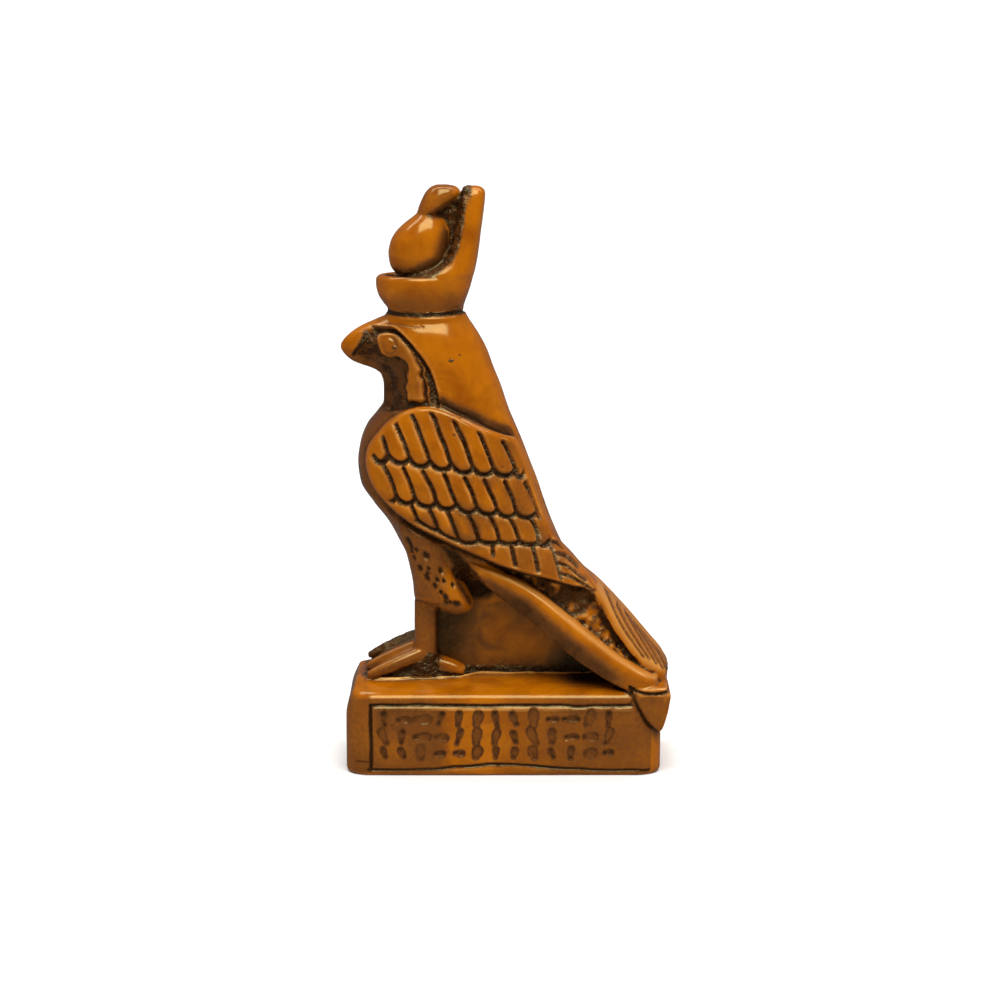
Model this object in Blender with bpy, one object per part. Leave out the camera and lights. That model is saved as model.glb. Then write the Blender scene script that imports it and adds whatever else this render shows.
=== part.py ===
"""A small cast figure of a crowned falcon on its plinth, poured in one piece.

Frame: X runs along the bird, beak at -X and tail at +X. The bird is the same on both sides of
the plane y = 0. +Z is up, and the origin is on the ground under the middle of the figure's length.
Tables and outlines are in millimetres, with x from a line CENTRE_X away from the origin.
"""

import math

import bmesh
import bpy

MM = 0.001

# Driving dimensions
HEIGHT = 101.6
CENTRE_X = -0.3
PLINTH_TOP = 16.0
PLINTH_HALF_WIDTH = 13.5
PLINTH_FRONT = -28.1
PLINTH_BACK = 26.8
PLINTH_EDGE = 2.8
PLINTH_CORNER = 4.4
PLINTH_FOOT_EDGE = 0.5
LEG_OFFSET = 4.6
THIGH_OFFSET = 4.9
GROOVE_WIDTH = 0.9
GROOVE_DEPTH = 0.45
FRAME_WIDTH = 0.8
FRAME_DEPTH = 0.5
STROKE_DEPTH = 0.5
BODY_SIDES = 28
CROWN_SIDES = 24
THIGH_SIDES = 18
TARSUS_SIDES = 12
PAD_SIDES = 32
BEAK_SIDES = 14
REACH = 15.0
MERGE = 0.02

# A rounded end: how far past the end, in half breadths, and the share of the size left there
NOSE = ((0.75, 0.6), (0.3, 0.92))

# Level sections: height, front, back, half width, squareness of the corners
CORE = [
    (79.4, -20.5, -7.7, 6.0, 2.0),
    (78.2, -21.2, -7.1, 6.3, 2.0),
    (76.0, -22.0, -5.7, 6.5, 2.0),
    (73.0, -22.3, -4.0, 6.8, 2.0),
    (70.0, -22.2, -2.7, 7.1, 2.0),
    (67.0, -21.5, -1.5, 7.5, 2.1),
    (64.2, -21.5, -0.5, 8.2, 2.2),
    (62.2, -22.8, 0.2, 8.8, 2.2),
    (60.0, -24.3, 1.2, 9.3, 2.3),
    (57.0, -25.5, 2.5, 9.8, 2.4),
    (53.5, -26.0, 3.9, 10.2, 2.4),
    (50.0, -25.6, 5.2, 10.3, 2.4),
    (46.5, -23.5, 6.4, 10.3, 2.4),
    (43.0, -20.6, 7.8, 10.1, 2.5),
    (39.5, -18.2, 9.3, 9.7, 2.6),
    (36.0, -16.5, 11.0, 9.1, 2.8),
    (32.5, -15.5, 12.5, 8.0, 3.0),
    (29.5, -13.0, 11.5, 6.0, 3.0),
]
HOOD = [
    (80.1, -20.8, -7.6, 6.3, 2.0),
    (78.6, -21.6, -6.9, 6.9, 2.0),
    (76.0, -23.2, -5.1, 7.5, 2.0),
    (73.0, -23.6, -3.5, 7.8, 2.0),
    (70.0, -23.4, -2.3, 8.1, 2.0),
    (67.0, -22.9, -1.1, 8.5, 2.1),
    (64.0, -23.4, 0.0, 9.1, 2.2),
    (60.0, -25.4, 1.5, 9.9, 2.3),
    (57.0, -26.5, 2.7, 10.4, 2.4),
]
WING = [
    (65.5, -22.6, -0.5, 8.7, 2.2),
    (62.2, -23.8, 0.6, 9.7, 2.3),
    (60.0, -25.0, 1.4, 10.2, 2.4),
    (57.0, -26.2, 2.4, 10.7, 2.4),
    (53.5, -26.8, 4.0, 11.1, 2.4),
    (50.0, -26.4, 5.6, 11.2, 2.4),
    (46.5, -24.6, 6.5, 11.3, 2.5),
    (43.0, -22.4, 8.0, 11.4, 2.6),
    (39.5, -20.4, 10.0, 11.5, 2.9),
    (36.0, -18.4, 13.2, 11.6, 3.3),
    (32.5, -16.4, 16.6, 11.6, 3.6),
    (30.0, -15.0, 18.8, 11.6, 3.8),
]
CROWN = [
    (77.6, -20.4, -7.7, 6.0, 2.0),
    (78.7, -21.0, -7.2, 6.7, 2.0),
    (79.3, -20.9, -7.3, 6.6, 2.0),
    (79.9, -20.6, -7.7, 6.0, 2.0),
    (80.6, -21.4, -7.4, 6.2, 2.0),
    (82.5, -22.4, -6.8, 6.7, 2.0),
    (84.5, -22.8, -6.3, 7.2, 2.0),
    (85.5, -22.7, -6.2, 7.1, 2.0),
    (86.1, -21.8, -6.6, 6.4, 2.0),
]
CROWN_HOLLOW = [
    (84.9, -19.6, -10.0, 4.4, 2.0),
    (86.0, -21.0, -9.2, 5.6, 2.0),
    (88.5, -22.6, -8.6, 6.6, 2.0),
]
SPIKE = [
    (82.0, -11.0, -6.9, 5.6, 2.2),
    (85.5, -10.6, -6.25, 6.1, 2.4),
    (88.0, -9.7, -5.8, 5.6, 2.6),
    (91.0, -8.8, -5.1, 4.9, 2.8),
    (95.0, -8.2, -4.45, 4.0, 2.8),
    (98.5, -7.9, -4.0, 3.2, 2.6),
    (100.6, -7.6, -3.9, 2.5, 2.4),
    (101.4, -6.9, -4.6, 1.6, 2.0),
]
BULB = [
    (84.0, -19.4, -11.0, 4.0, 2.0),
    (86.6, -20.4, -10.2, 4.9, 2.0),
    (89.0, -20.6, -9.8, 5.3, 2.0),
    (91.2, -20.3, -9.6, 5.3, 2.0),
    (93.2, -19.4, -9.5, 4.8, 2.0),
    (95.0, -17.9, -9.3, 4.0, 2.0),
    (96.2, -16.0, -9.0, 3.2, 2.0),
    (97.6, -15.2, -8.6, 3.1, 2.0),
    (99.2, -14.6, -8.3, 3.2, 2.0),
    (100.6, -13.8, -8.2, 2.6, 2.0),
    (HEIGHT, -12.6, -9.9, 1.1, 2.0),
]
THIGH = [
    (45.0, -20.4, -3.5, 4.2, 2.2),
    (41.5, -19.1, -3.8, 4.9, 2.2),
    (38.0, -17.7, -4.4, 5.2, 2.2),
    (34.5, -16.8, -5.0, 5.1, 2.3),
    (31.8, -16.4, -5.5, 4.7, 2.4),
    (29.8, -16.1, -5.7, 4.0, 2.4),
    (28.2, -13.6, -6.2, 2.6, 2.2),
]
TARSUS = [
    (31.0, -16.1, -12.0, 2.4, 2.6),
    (24.0, -16.1, -12.1, 2.3, 2.6),
    (20.0, -16.4, -12.1, 2.6, 2.6),
    (17.0, -17.2, -12.1, 3.0, 2.6),
    (15.0, -17.2, -12.1, 3.0, 2.6),
]
PAD = [
    (15.0, -24.8, 14.6, 6.3, 6.0),
    (16.2, -24.8, 14.6, 6.3, 6.0),
    (16.5, -24.4, 14.2, 5.9, 6.0),
]

# Beak sections across X: x, underside, top, half width
BEAK = [
    (-28.9, 73.0, 74.1, 0.5),
    (-28.2, 72.2, 75.0, 1.1),
    (-26.9, 71.2, 76.2, 1.9),
    (-25.2, 70.6, 77.3, 3.0),
    (-23.2, 69.8, 78.2, 4.4),
    (-21.0, 68.2, 79.0, 5.4),
    (-18.0, 66.5, 79.2, 6.0),
    (-14.0, 66.5, 79.0, 6.0),
]

# Outlines seen from the side: x, z
FACE_EDGE = [
    (-24.3, 76.3),
    (-22.5, 77.5),
    (-20.1, 77.4),
    (-18.3, 76.4),
    (-16.1, 74.4),
    (-14.1, 71.5),
    (-12.9, 69.4),
    (-12.0, 65.0),
]
HOOD_HEM = [(-6.3, 62.3), (-1.2, 59.8), (1.6, 58.4), (8.0, 57.6)]
WING_TOP = [
    (-24.4, 53.9),
    (-24.2, 56.4),
    (-22.4, 59.2),
    (-20.1, 61.6),
    (-17.0, 63.5),
    (-14.3, 64.0),
    (-10.8, 63.4),
    (-7.4, 61.8),
    (-3.9, 60.1),
    (-1.0, 58.6),
    (1.4, 56.6),
    (3.4, 51.5),
    (5.0, 47.0),
    (7.0, 43.0),
    (9.0, 39.7),
    (14.7, 32.2),
]
WING_BOTTOM = [
    (-24.4, 53.9),
    (-23.7, 50.9),
    (-22.0, 48.2),
    (-19.5, 45.8),
    (-16.0, 43.4),
    (-12.0, 41.4),
    (-8.1, 39.7),
    (-3.9, 37.8),
    (0.7, 35.9),
    (5.3, 34.7),
    (14.7, 32.2),
]
EYE_PATCH = [
    (-22.4, 75.7),
    (-21.3, 76.5),
    (-19.6, 76.3),
    (-17.9, 75.0),
    (-16.5, 73.4),
    (-15.3, 70.6),
    (-14.0, 65.8),
    (-17.2, 65.4),
    (-16.9, 69.3),
    (-17.2, 71.4),
    (-19.1, 72.5),
    (-20.9, 72.6),
    (-22.0, 74.2),
]
CROWN_WEB = [
    (-14.0, 84.6),
    (-7.0, 84.6),
    (-5.6, 93.0),
    (-5.2, 100.0),
    (-8.0, 100.4),
    (-12.0, 100.6),
    (-14.0, 93.0),
]
FILLER = [
    (-13.4, 15.2),
    (-13.4, 31.5),
    (4.0, 33.0),
    (22.0, 20.5),
    (22.0, 15.2),
]
TAIL_TIP = [
    (21.6, 15.4),
    (22.6, 12.3),
    (26.3, 7.8),
    (27.2, 8.0),
    (27.9, 10.0),
    (28.3, 13.0),
    (28.3, 15.4),
    (27.8, 17.6),
    (25.4, 18.8),
    (21.6, 18.0),
]
TAIL_TIP_HALF_WIDTH = 13.75
TAIL_TIP_EDGE = 0.6
CROWN_WEB_HALF_WIDTH = 1.9
FILLER_HALF_WIDTH = 3.6

# Tail sections, from the body to the end. Each has the ridge (x, z), the lower edge of the folded flight
# feathers (half width, x, z), the top of the side bar (half width, x, z), and the bar's underside (x, z)
TAIL = [
    ((3.0, 42.4), (7.6, 0.4, 40.4), (8.4, -5.6, 36.6), (-6.6, 33.2)),
    ((7.2, 40.0), (9.0, 5.2, 37.6), (9.6, 0.0, 34.7), (-1.6, 30.9)),
    ((10.9, 36.3), (9.5, 9.8, 35.0), (10.9, 6.2, 32.0), (3.9, 27.3)),
    ((15.3, 32.7), (9.5, 14.1, 31.1), (12.0, 11.4, 28.4), (9.0, 23.7)),
    ((20.2, 27.8), (9.5, 18.4, 25.6), (13.0, 16.8, 24.0), (14.8, 19.5)),
    ((24.7, 22.8), (9.4, 22.7, 19.8), (13.3, 21.9, 19.7), (19.6, 15.6)),
    ((27.3, 18.9), (9.0, 25.6, 17.2), (13.2, 25.2, 16.4), (22.6, 13.6)),
]

# Feathers seen from the side. They lean, and each row has: x of the first groove's foot, spacing, number,
# height of the first foot, fall per millimetre, height of the first top, fall of the tops
FEATHER_LEAN = 0.42
FEATHER_ROWS = [
    (-20.6, 3.7, 7, 56.1, 0.13, 70.0, 0.0),
    (-19.3, 3.55, 7, 48.9, 0.13, 53.3, 0.14),
    (-14.8, 3.5, 7, 41.9, 0.05, 47.2, 0.14),
]
FEATHER_MARGIN = 1.1
ROW_LINES = [
    [(-23.4, 53.6), (-21.6, 54.5), (-18.4, 54.7), (-10.8, 53.7), (-3.1, 52.3), (1.0, 51.0)],
    [(-18.6, 48.2), (-13.4, 48.0), (-6.5, 46.8), (0.4, 45.7), (3.8, 45.1)],
    [(-8.2, 40.6), (0.0, 40.5), (6.4, 40.4)],
]
TIP_GROOVES = [
    [(-2.6, 39.9), (-2.4, 38.8)],
    [(0.9, 39.9), (1.6, 36.9)],
    [(4.6, 39.9), (5.5, 36.0)],
    [(7.8, 39.7), (9.1, 35.2)],
]

# Inscription panel on the near face of the plinth
PANEL_TOP = 12.7
PANEL_FRONT = -23.7
PANEL_BACK = 21.8
PANEL_SAG = [(-23.4, 0.9), (-12.0, 1.7), (4.9, 2.3), (16.2, 1.2), (25.0, 0.9)]
STROKE_ROWS = [(9.8, 2.2), (6.9, 1.9), (4.3, 1.6)]
STROKE_START = -21.8
STROKE_PITCH = 2.6
STROKE_COUNT = 17
STROKE_WIDTH = 0.9
STROKE_LEANS = (0.0, 22.0, -16.0, 70.0, 0.0, -30.0, 64.0, 12.0)


def section(level, sides):
    """One level ring: a superellipse between front and back, squarer as its power grows."""
    height, front, back, half, power = level
    middle = (front + back) / 2
    reach = (back - front) / 2
    ring = []
    for step in range(sides):
        angle = 2 * math.pi * step / sides
        along = math.copysign(abs(math.cos(angle)) ** (2 / power), math.cos(angle))
        across = math.copysign(abs(math.sin(angle)) ** (2 / power), math.sin(angle))
        ring.append((middle + reach * along, half * across, height))
    return ring


def side_half_width(levels, x, z):
    """Half width of a lofted form at a point of its side view."""
    ordered = sorted(levels)
    upper = next((i for i, level in enumerate(ordered) if level[0] >= z), len(ordered) - 1)
    upper = max(upper, 1)
    low, high = ordered[upper - 1], ordered[upper]
    share = (z - low[0]) / (high[0] - low[0])
    front, back, half, power = (a + (b - a) * share for a, b in zip(low[1:], high[1:]))
    reach = min(1.0, abs(2 * x - front - back) / (back - front))
    return half * (1 - reach**power) ** (1 / power)


def solid(name, rings):
    """A closed body through a row of rings, with a flat cap at each end."""
    shape = bmesh.new()
    rows = [[shape.verts.new(((x - CENTRE_X) * MM, y * MM, z * MM)) for x, y, z in ring] for ring in rings]
    for ring, following in zip(rows, rows[1:]):
        for i in range(len(ring)):
            j = (i + 1) % len(ring)
            shape.faces.new((ring[i], ring[j], following[j], following[i]))
    shape.faces.new(rows[0])
    shape.faces.new(rows[-1])
    bmesh.ops.recalc_face_normals(shape, faces=shape.faces)
    mesh = bpy.data.meshes.new(name)
    shape.to_mesh(mesh)
    shape.free()
    made = bpy.data.objects.new(name, mesh)
    bpy.context.collection.objects.link(made)
    return made


def loft(name, levels, sides, offset=0.0):
    """A body through level sections, moved sideways by offset."""
    rings = [section(level, sides) for level in levels]
    return solid(name, [[(x, y + offset, z) for x, y, z in ring] for ring in rings])


def prism(name, outline, half_width):
    """A side-view outline given a thickness across the figure."""
    return solid(name, [[(x, y, z) for x, z in outline] for y in (-half_width, half_width)])


def rounded(obj, width, segments):
    """Rounds every sharp edge of a body."""
    edge = obj.modifiers.new("round", "BEVEL")
    edge.width = width * MM
    edge.segments = segments
    edge.limit_method = "ANGLE"
    return obj


def settle(obj):
    """Turns an object's modifiers into plain mesh."""
    evaluated = obj.evaluated_get(bpy.context.evaluated_depsgraph_get())
    mesh = bpy.data.meshes.new_from_object(evaluated)
    obj.modifiers.clear()
    old = obj.data
    obj.data = mesh
    bpy.data.meshes.remove(old)


def combine(target, operation, other):
    """Joins, cuts or intersects target with other, and takes other away."""
    settle(other)
    step = target.modifiers.new(operation, "BOOLEAN")
    step.operation = operation
    step.object = other
    settle(target)
    bpy.data.objects.remove(other)
    return target


def joined(name, parts):
    """Several bodies that don't touch, as one object."""
    whole = bmesh.new()
    for part in parts:
        whole.from_mesh(part.data)
    mesh = bpy.data.meshes.new(name)
    whole.to_mesh(mesh)
    whole.free()
    for part in parts:
        bpy.data.objects.remove(part)
    made = bpy.data.objects.new(name, mesh)
    bpy.context.collection.objects.link(made)
    return made


def clean(obj):
    """Welds points that a cut has left closer than MERGE, and drops the faces that this flattens."""
    shape = bmesh.new()
    shape.from_mesh(obj.data)
    bmesh.ops.remove_doubles(shape, verts=shape.verts, dist=MERGE * MM)
    bmesh.ops.dissolve_degenerate(shape, edges=shape.edges, dist=MERGE * MM)
    bmesh.ops.triangulate(shape, faces=shape.faces)
    bmesh.ops.dissolve_degenerate(shape, edges=shape.edges, dist=MERGE * MM)
    shape.to_mesh(obj.data)
    shape.free()


def limb(name, start, end, start_size, end_size, sides=10):
    """A tapering bar with rounded ends from start to end. A size is (half breadth, half height)."""
    run = [b - a for a, b in zip(start, end)]
    length = math.sqrt(sum(value * value for value in run))
    ahead = [value / length for value in run]
    side = (ahead[1], -ahead[0], 0.0)
    scale = math.hypot(side[0], side[1])
    side = tuple(value / scale for value in side)
    up = (
        side[1] * ahead[2] - side[2] * ahead[1],
        side[2] * ahead[0] - side[0] * ahead[2],
        side[0] * ahead[1] - side[1] * ahead[0],
    )
    stations = [(-past * start_size[0], left, start_size) for past, left in NOSE]
    stations += [(length + past * end_size[0], left, end_size) for past, left in reversed(NOSE)]
    rings = []
    for reach, left, size in stations:
        ring = []
        for step in range(sides):
            angle = 2 * math.pi * step / sides
            out = size[0] * left * math.cos(angle)
            rise = size[1] * left * math.sin(angle)
            ring.append([s + a * reach + b * out + c * rise for s, a, b, c in zip(start, ahead, side, up)])
        rings.append(ring)
    return solid(name, rings)


def groove(name, path, width, depth, half_width_at, side):
    """A V-shaped cutter along a side-view path, as deep as depth below the surface it follows."""
    lift = 0.5
    flare = (depth + lift) / depth
    rings = []
    for i, (x, z) in enumerate(path):
        before = path[max(i - 1, 0)]
        after = path[min(i + 1, len(path) - 1)]
        run = (after[0] - before[0], after[1] - before[1])
        length = math.hypot(*run)
        across = (-run[1] / length * width * flare / 2, run[0] / length * width * flare / 2)
        surface = half_width_at(x, z)
        outer, inner = side * (surface + lift), side * (surface - depth)
        rings.append(
            [(x + across[0], outer, z + across[1]), (x - across[0], outer, z - across[1]), (x, inner, z)]
        )
    return solid(name, rings)


def on_wing(x, z):
    return side_half_width(WING, x, z)


def on_plinth(_x, _z):
    return PLINTH_HALF_WIDTH


def make_plinth():
    """The block: straight sides, well rounded above and a little below."""
    shoulder = PLINTH_TOP - PLINTH_EDGE
    profile = [(0.0, PLINTH_FOOT_EDGE), (PLINTH_FOOT_EDGE, 0.0), (shoulder, 0.0)]
    for turn in (math.pi / 6, math.pi / 3, math.pi / 2):
        profile.append((shoulder + PLINTH_EDGE * math.sin(turn), PLINTH_EDGE * (1 - math.cos(turn))))
    rings = []
    corner = PLINTH_CORNER
    for height, inset in profile:
        reach_x = (PLINTH_BACK - PLINTH_FRONT) / 2 - inset
        reach_y = PLINTH_HALF_WIDTH - inset
        middle = (PLINTH_BACK + PLINTH_FRONT) / 2
        ring = []
        for turn in range(4):
            for part in range(4):
                angle = math.pi / 2 * (turn + part / 3)
                sign_x = 1 if turn in (0, 3) else -1
                sign_y = 1 if turn in (0, 1) else -1
                ring.append(
                    (
                        middle + sign_x * (reach_x - corner) + corner * math.cos(angle),
                        sign_y * (reach_y - corner) + corner * math.sin(angle),
                        height,
                    )
                )
        rings.append(ring)
    return solid("plinth", rings)


def make_tail():
    """The tail slab with its side bars, and the folded flight feathers as a low block on top."""
    rings = []
    for ridge, (block_half, block_x, block_z), (bar_half, bar_x, bar_z), (under_x, under_z) in TAIL:
        middle_x, middle_z = (bar_x + under_x) / 2, (bar_z + under_z) / 2
        half = [
            (0.5 * block_half, (ridge[0] * 4 + block_x) / 5, (ridge[1] * 4 + block_z) / 5),
            (0.85 * block_half, (ridge[0] + block_x) / 2, (ridge[1] + block_z) / 2),
            (block_half, block_x, block_z),
            (bar_half - 1.2, bar_x, bar_z - 0.3),
            (bar_half - 0.5, bar_x, bar_z),
            (bar_half, middle_x, middle_z),
            (bar_half - 0.7, under_x, under_z),
            (bar_half * 0.4, under_x, under_z + 0.2),
        ]
        ring = [(ridge[0], 0.0, ridge[1])]
        ring += [(x, -y, z) for y, x, z in half]
        ring += [(under_x, 0.0, under_z + 0.2)]
        ring += [(x, y, z) for y, x, z in reversed(half)]
        rings.append(ring)
    return solid("tail", rings)


def make_beak():
    """The beak and face wedge, which narrows to the hooked tip."""
    rings = []
    for x, low, high, half in BEAK:
        middle, reach = (low + high) / 2, (high - low) / 2
        turns = [2 * math.pi * step / BEAK_SIDES for step in range(BEAK_SIDES)]
        rings.append([(x, half * math.cos(turn), middle + reach * math.sin(turn)) for turn in turns])
    return solid("beak", rings)


def make_crown():
    """The flaring cup with its band, the tall plate behind, and the bulb inside."""
    crown = loft("crown", CROWN, CROWN_SIDES)
    combine(crown, "DIFFERENCE", loft("hollow", CROWN_HOLLOW, CROWN_SIDES))
    combine(crown, "UNION", loft("spike", SPIKE, CROWN_SIDES))
    combine(crown, "UNION", loft("bulb", BULB, CROWN_SIDES))
    return combine(crown, "UNION", prism("web", CROWN_WEB, CROWN_WEB_HALF_WIDTH))


def relief(name, levels, sides, outline):
    """A raised field: the slightly larger body, kept only inside a side-view outline."""
    return combine(loft(name, levels, sides), "INTERSECT", prism("field", outline, REACH))


def make_feet(body):
    """Legs, three splayed front toes and a hind toe under each, the same on both sides."""
    toes = [
        ((-14.9, 1.3, 20.4), (-23.2, 3.4, 17.0), (1.8, 2.1), (1.4, 1.3)),
        ((-14.9, 0.0, 21.1), (-23.4, 0.2, 17.8), (1.9, 2.0), (1.5, 1.5)),
        ((-14.9, -1.5, 20.5), (-22.6, -3.0, 17.2), (1.7, 1.9), (1.3, 1.3)),
        ((-12.4, 0.2, 18.8), (-8.4, 0.4, 17.2), (1.8, 1.9), (1.5, 1.2)),
    ]
    for side in (-1, 1):
        combine(body, "UNION", loft("thigh", THIGH, THIGH_SIDES, side * THIGH_OFFSET))
        combine(body, "UNION", loft("tarsus", TARSUS, TARSUS_SIDES, side * LEG_OFFSET))
        for start, end, start_size, end_size in toes:
            start, end = ((x, side * (LEG_OFFSET + y), z) for x, y, z in (start, end))
            combine(body, "UNION", limb("toe", start, end, start_size, end_size))
    combine(body, "UNION", loft("pad", PAD, PAD_SIDES))


def height_on(chain, x):
    """Height of a left-to-right outline at x."""
    after = next((i for i, point in enumerate(chain) if point[0] > x), len(chain) - 1)
    (x0, z0), (x1, z1) = chain[after - 1], chain[after]
    return z0 + (z1 - z0) * (x - x0) / (x1 - x0)


def feather_paths():
    """The slanted lines that part the feathers of each row, kept inside the wing's outline."""
    paths = []
    for first_x, spacing, count, first_foot, fall, first_top, top_fall in FEATHER_ROWS:
        for i in range(count):
            x = first_x + spacing * i
            foot = max(first_foot - fall * spacing * i, height_on(WING_BOTTOM, x) + FEATHER_MARGIN)
            top = first_top - top_fall * spacing * i
            top_x = x
            for _ in range(4):
                top_x = x - FEATHER_LEAN * (min(top, height_on(WING_TOP, top_x) - FEATHER_MARGIN) - foot)
            top = min(top, height_on(WING_TOP, top_x) - FEATHER_MARGIN)
            paths.append([(top_x, top), ((x + top_x) / 2, (foot + top) / 2), (x, foot)])
    return paths + TIP_GROOVES


def cut_feathers(body):
    """Grooves between the feathers, and the line under each row."""
    for lines in [feather_paths()] + [[line] for line in ROW_LINES]:
        for side in (-1, 1):
            cutters = [groove("line", path, GROOVE_WIDTH, GROOVE_DEPTH, on_wing, side) for path in lines]
            combine(body, "DIFFERENCE", joined("lines", cutters))


def cut_panel(body):
    """The grooved frame of the inscription panel, on both long faces."""
    top = [(PANEL_FRONT, PANEL_TOP), (PANEL_BACK, PANEL_TOP)]
    upright = [(PANEL_FRONT - 0.1, PANEL_TOP - 1.1), (PANEL_FRONT - 0.1, 1.6)]
    for path in (top, upright, PANEL_SAG):
        for side in (-1, 1):
            combine(body, "DIFFERENCE", groove("frame", path, FRAME_WIDTH, FRAME_DEPTH, on_plinth, side))


def cut_strokes(body):
    """Rows of shallow strokes in the inscription's place, on the near face only."""
    cutters = []
    for row, (height, length) in enumerate(STROKE_ROWS):
        for i in range(STROKE_COUNT):
            lean = math.radians(STROKE_LEANS[(i * 3 + row * 5) % len(STROKE_LEANS)])
            x = STROKE_START + STROKE_PITCH * i
            run = (math.sin(lean) * length / 2, math.cos(lean) * length / 2)
            path = [(x - run[0], height - run[1]), (x + run[0], height + run[1])]
            cutters.append(groove("stroke", path, STROKE_WIDTH, STROKE_DEPTH, on_plinth, -1))
    combine(body, "DIFFERENCE", joined("strokes", cutters))


def resin():
    """Honey-coloured casting resin under a gloss varnish."""
    material = bpy.data.materials.new("amber_resin")
    material.use_nodes = True
    shader = material.node_tree.nodes["Principled BSDF"]
    shader.inputs["Base Color"].default_value = (0.43, 0.14, 0.004, 1.0)
    shader.inputs["Roughness"].default_value = 0.25
    shader.inputs["Metallic"].default_value = 0.0
    return material


def main():
    for obj in list(bpy.data.objects):
        bpy.data.objects.remove(obj)
    body = loft("falcon_figure", CORE, BODY_SIDES)
    combine(body, "UNION", make_beak())
    hood_outline = FACE_EDGE + HOOD_HEM + [(8.0, 81.5), (-24.3, 81.5)]
    combine(body, "UNION", relief("hood", HOOD, BODY_SIDES, hood_outline))
    combine(body, "UNION", make_tail())
    combine(body, "UNION", relief("eye_patch", HOOD, BODY_SIDES, EYE_PATCH))
    wing_outline = WING_TOP + WING_BOTTOM[-2:0:-1]
    combine(body, "UNION", relief("wing", WING, BODY_SIDES, wing_outline))
    make_feet(body)
    combine(body, "UNION", prism("filler", FILLER, FILLER_HALF_WIDTH))
    combine(body, "UNION", make_crown())
    combine(body, "UNION", make_plinth())
    tail_tip = prism("tail_tip", TAIL_TIP, TAIL_TIP_HALF_WIDTH)
    combine(body, "UNION", rounded(tail_tip, TAIL_TIP_EDGE, 2))
    cut_feathers(body)
    cut_panel(body)
    cut_strokes(body)
    clean(body)
    body.data.materials.clear()
    body.data.materials.append(resin())
    body.data.shade_smooth()
    body.data.set_sharp_from_angle(angle=math.radians(32))
    body.data.calc_loop_triangles()
    print("falcon_figure:", len(body.data.loop_triangles), "triangles")


main()
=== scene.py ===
# %% [markdown]
# # A crowned falcon, cast in honey-coloured resin
# The real thing is a table ornament, a hand's breadth tall. A carver made the first one, a rubber mould was
# taken from it, and resin was poured into the mould, so bird, crown and plinth are one piece. A thin brown
# wash was brushed on and wiped off again: it stays in every hollow. A gloss varnish closes the surface.
#
# The lesson follows the same order. First the large rounded forms are turned and lofted, as a carver blocks
# them out. They are fused into one skin. Then the lines are carved into that skin, the wash is worked out
# from how hollow each place is, and last comes the material.

import bpy
import numpy as np
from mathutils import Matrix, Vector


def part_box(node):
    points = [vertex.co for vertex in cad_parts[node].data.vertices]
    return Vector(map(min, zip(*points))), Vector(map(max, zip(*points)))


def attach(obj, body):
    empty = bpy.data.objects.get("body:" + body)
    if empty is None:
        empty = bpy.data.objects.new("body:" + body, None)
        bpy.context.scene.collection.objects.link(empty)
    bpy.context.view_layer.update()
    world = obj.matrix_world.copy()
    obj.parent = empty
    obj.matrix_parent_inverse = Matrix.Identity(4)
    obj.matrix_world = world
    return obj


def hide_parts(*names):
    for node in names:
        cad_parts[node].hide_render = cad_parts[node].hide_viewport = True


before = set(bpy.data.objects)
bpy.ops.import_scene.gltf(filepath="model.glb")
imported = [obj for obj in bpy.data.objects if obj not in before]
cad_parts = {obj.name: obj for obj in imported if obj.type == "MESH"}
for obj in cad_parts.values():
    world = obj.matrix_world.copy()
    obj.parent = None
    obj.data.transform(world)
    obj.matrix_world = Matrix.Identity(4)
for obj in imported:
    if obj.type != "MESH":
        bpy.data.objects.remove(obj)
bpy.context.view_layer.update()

MM = 0.001
low_corner, high_corner = (np.array(corner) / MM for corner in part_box("falcon_figure"))
print("figure in mm:", np.round(high_corner - low_corner, 2))

# %% [markdown]
# ## Where the numbers are counted from
# A maker measures a figure from one side: along it (x) and up it (z), in millimetres. Every table below is
# in that side view, and ORIGIN_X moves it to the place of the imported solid, whose beak tip is at BEAK_TIP.

# %% Driving dimensions
BEAK_TIP = -28.9
ORIGIN_X = low_corner[0] - BEAK_TIP
HEIGHT = high_corner[2]
VOXEL = 0.21
MOST_TRIANGLES = 194000
PLINTH_TOP = 16.0
PLINTH_HALF_WIDTH = 13.5
PLINTH_FRONT = -28.1
PLINTH_BACK = 26.8
PLINTH_CORNER = 4.4
LEG_OFFSET = 4.6
THIGH_OFFSET = 4.9
print("side view starts at", round(float(ORIGIN_X), 3), "mm")

# %% [markdown]
# ## The camera first
# The photograph was taken with a long lens from a little above the figure's middle. Setting that up before
# any modelling means that each later render can be laid beside the picture. Focal length and distance give
# the size in the frame; the small shift only moves the framing.

# %% Camera at the photograph's angle
CAMERA_DISTANCE = 0.520
CAMERA_RISE = np.radians(9.3)
LOOK_AT_HEIGHT = 0.050
FRAME_WIDTH_THERE = 0.17558
SENSOR = 36.0
FRAME_SHIFT = (-0.0069, -0.0207)

lens = bpy.data.cameras.new("long_lens")
lens.sensor_width = SENSOR
lens.lens = SENSOR * CAMERA_DISTANCE / FRAME_WIDTH_THERE
lens.shift_x, lens.shift_y = FRAME_SHIFT
lens.clip_start = 0.01
lens.clip_end = 20.0
camera = bpy.data.objects.new("camera", lens)
camera.location = (
    ORIGIN_X * MM,
    -CAMERA_DISTANCE * np.cos(CAMERA_RISE),
    LOOK_AT_HEIGHT + CAMERA_DISTANCE * np.sin(CAMERA_RISE),
)
camera.rotation_euler = (np.pi / 2 - CAMERA_RISE, 0.0, 0.0)
bpy.context.scene.collection.objects.link(camera)
bpy.context.scene.camera = camera
print("lens of", round(lens.lens, 1), "mm")

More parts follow.
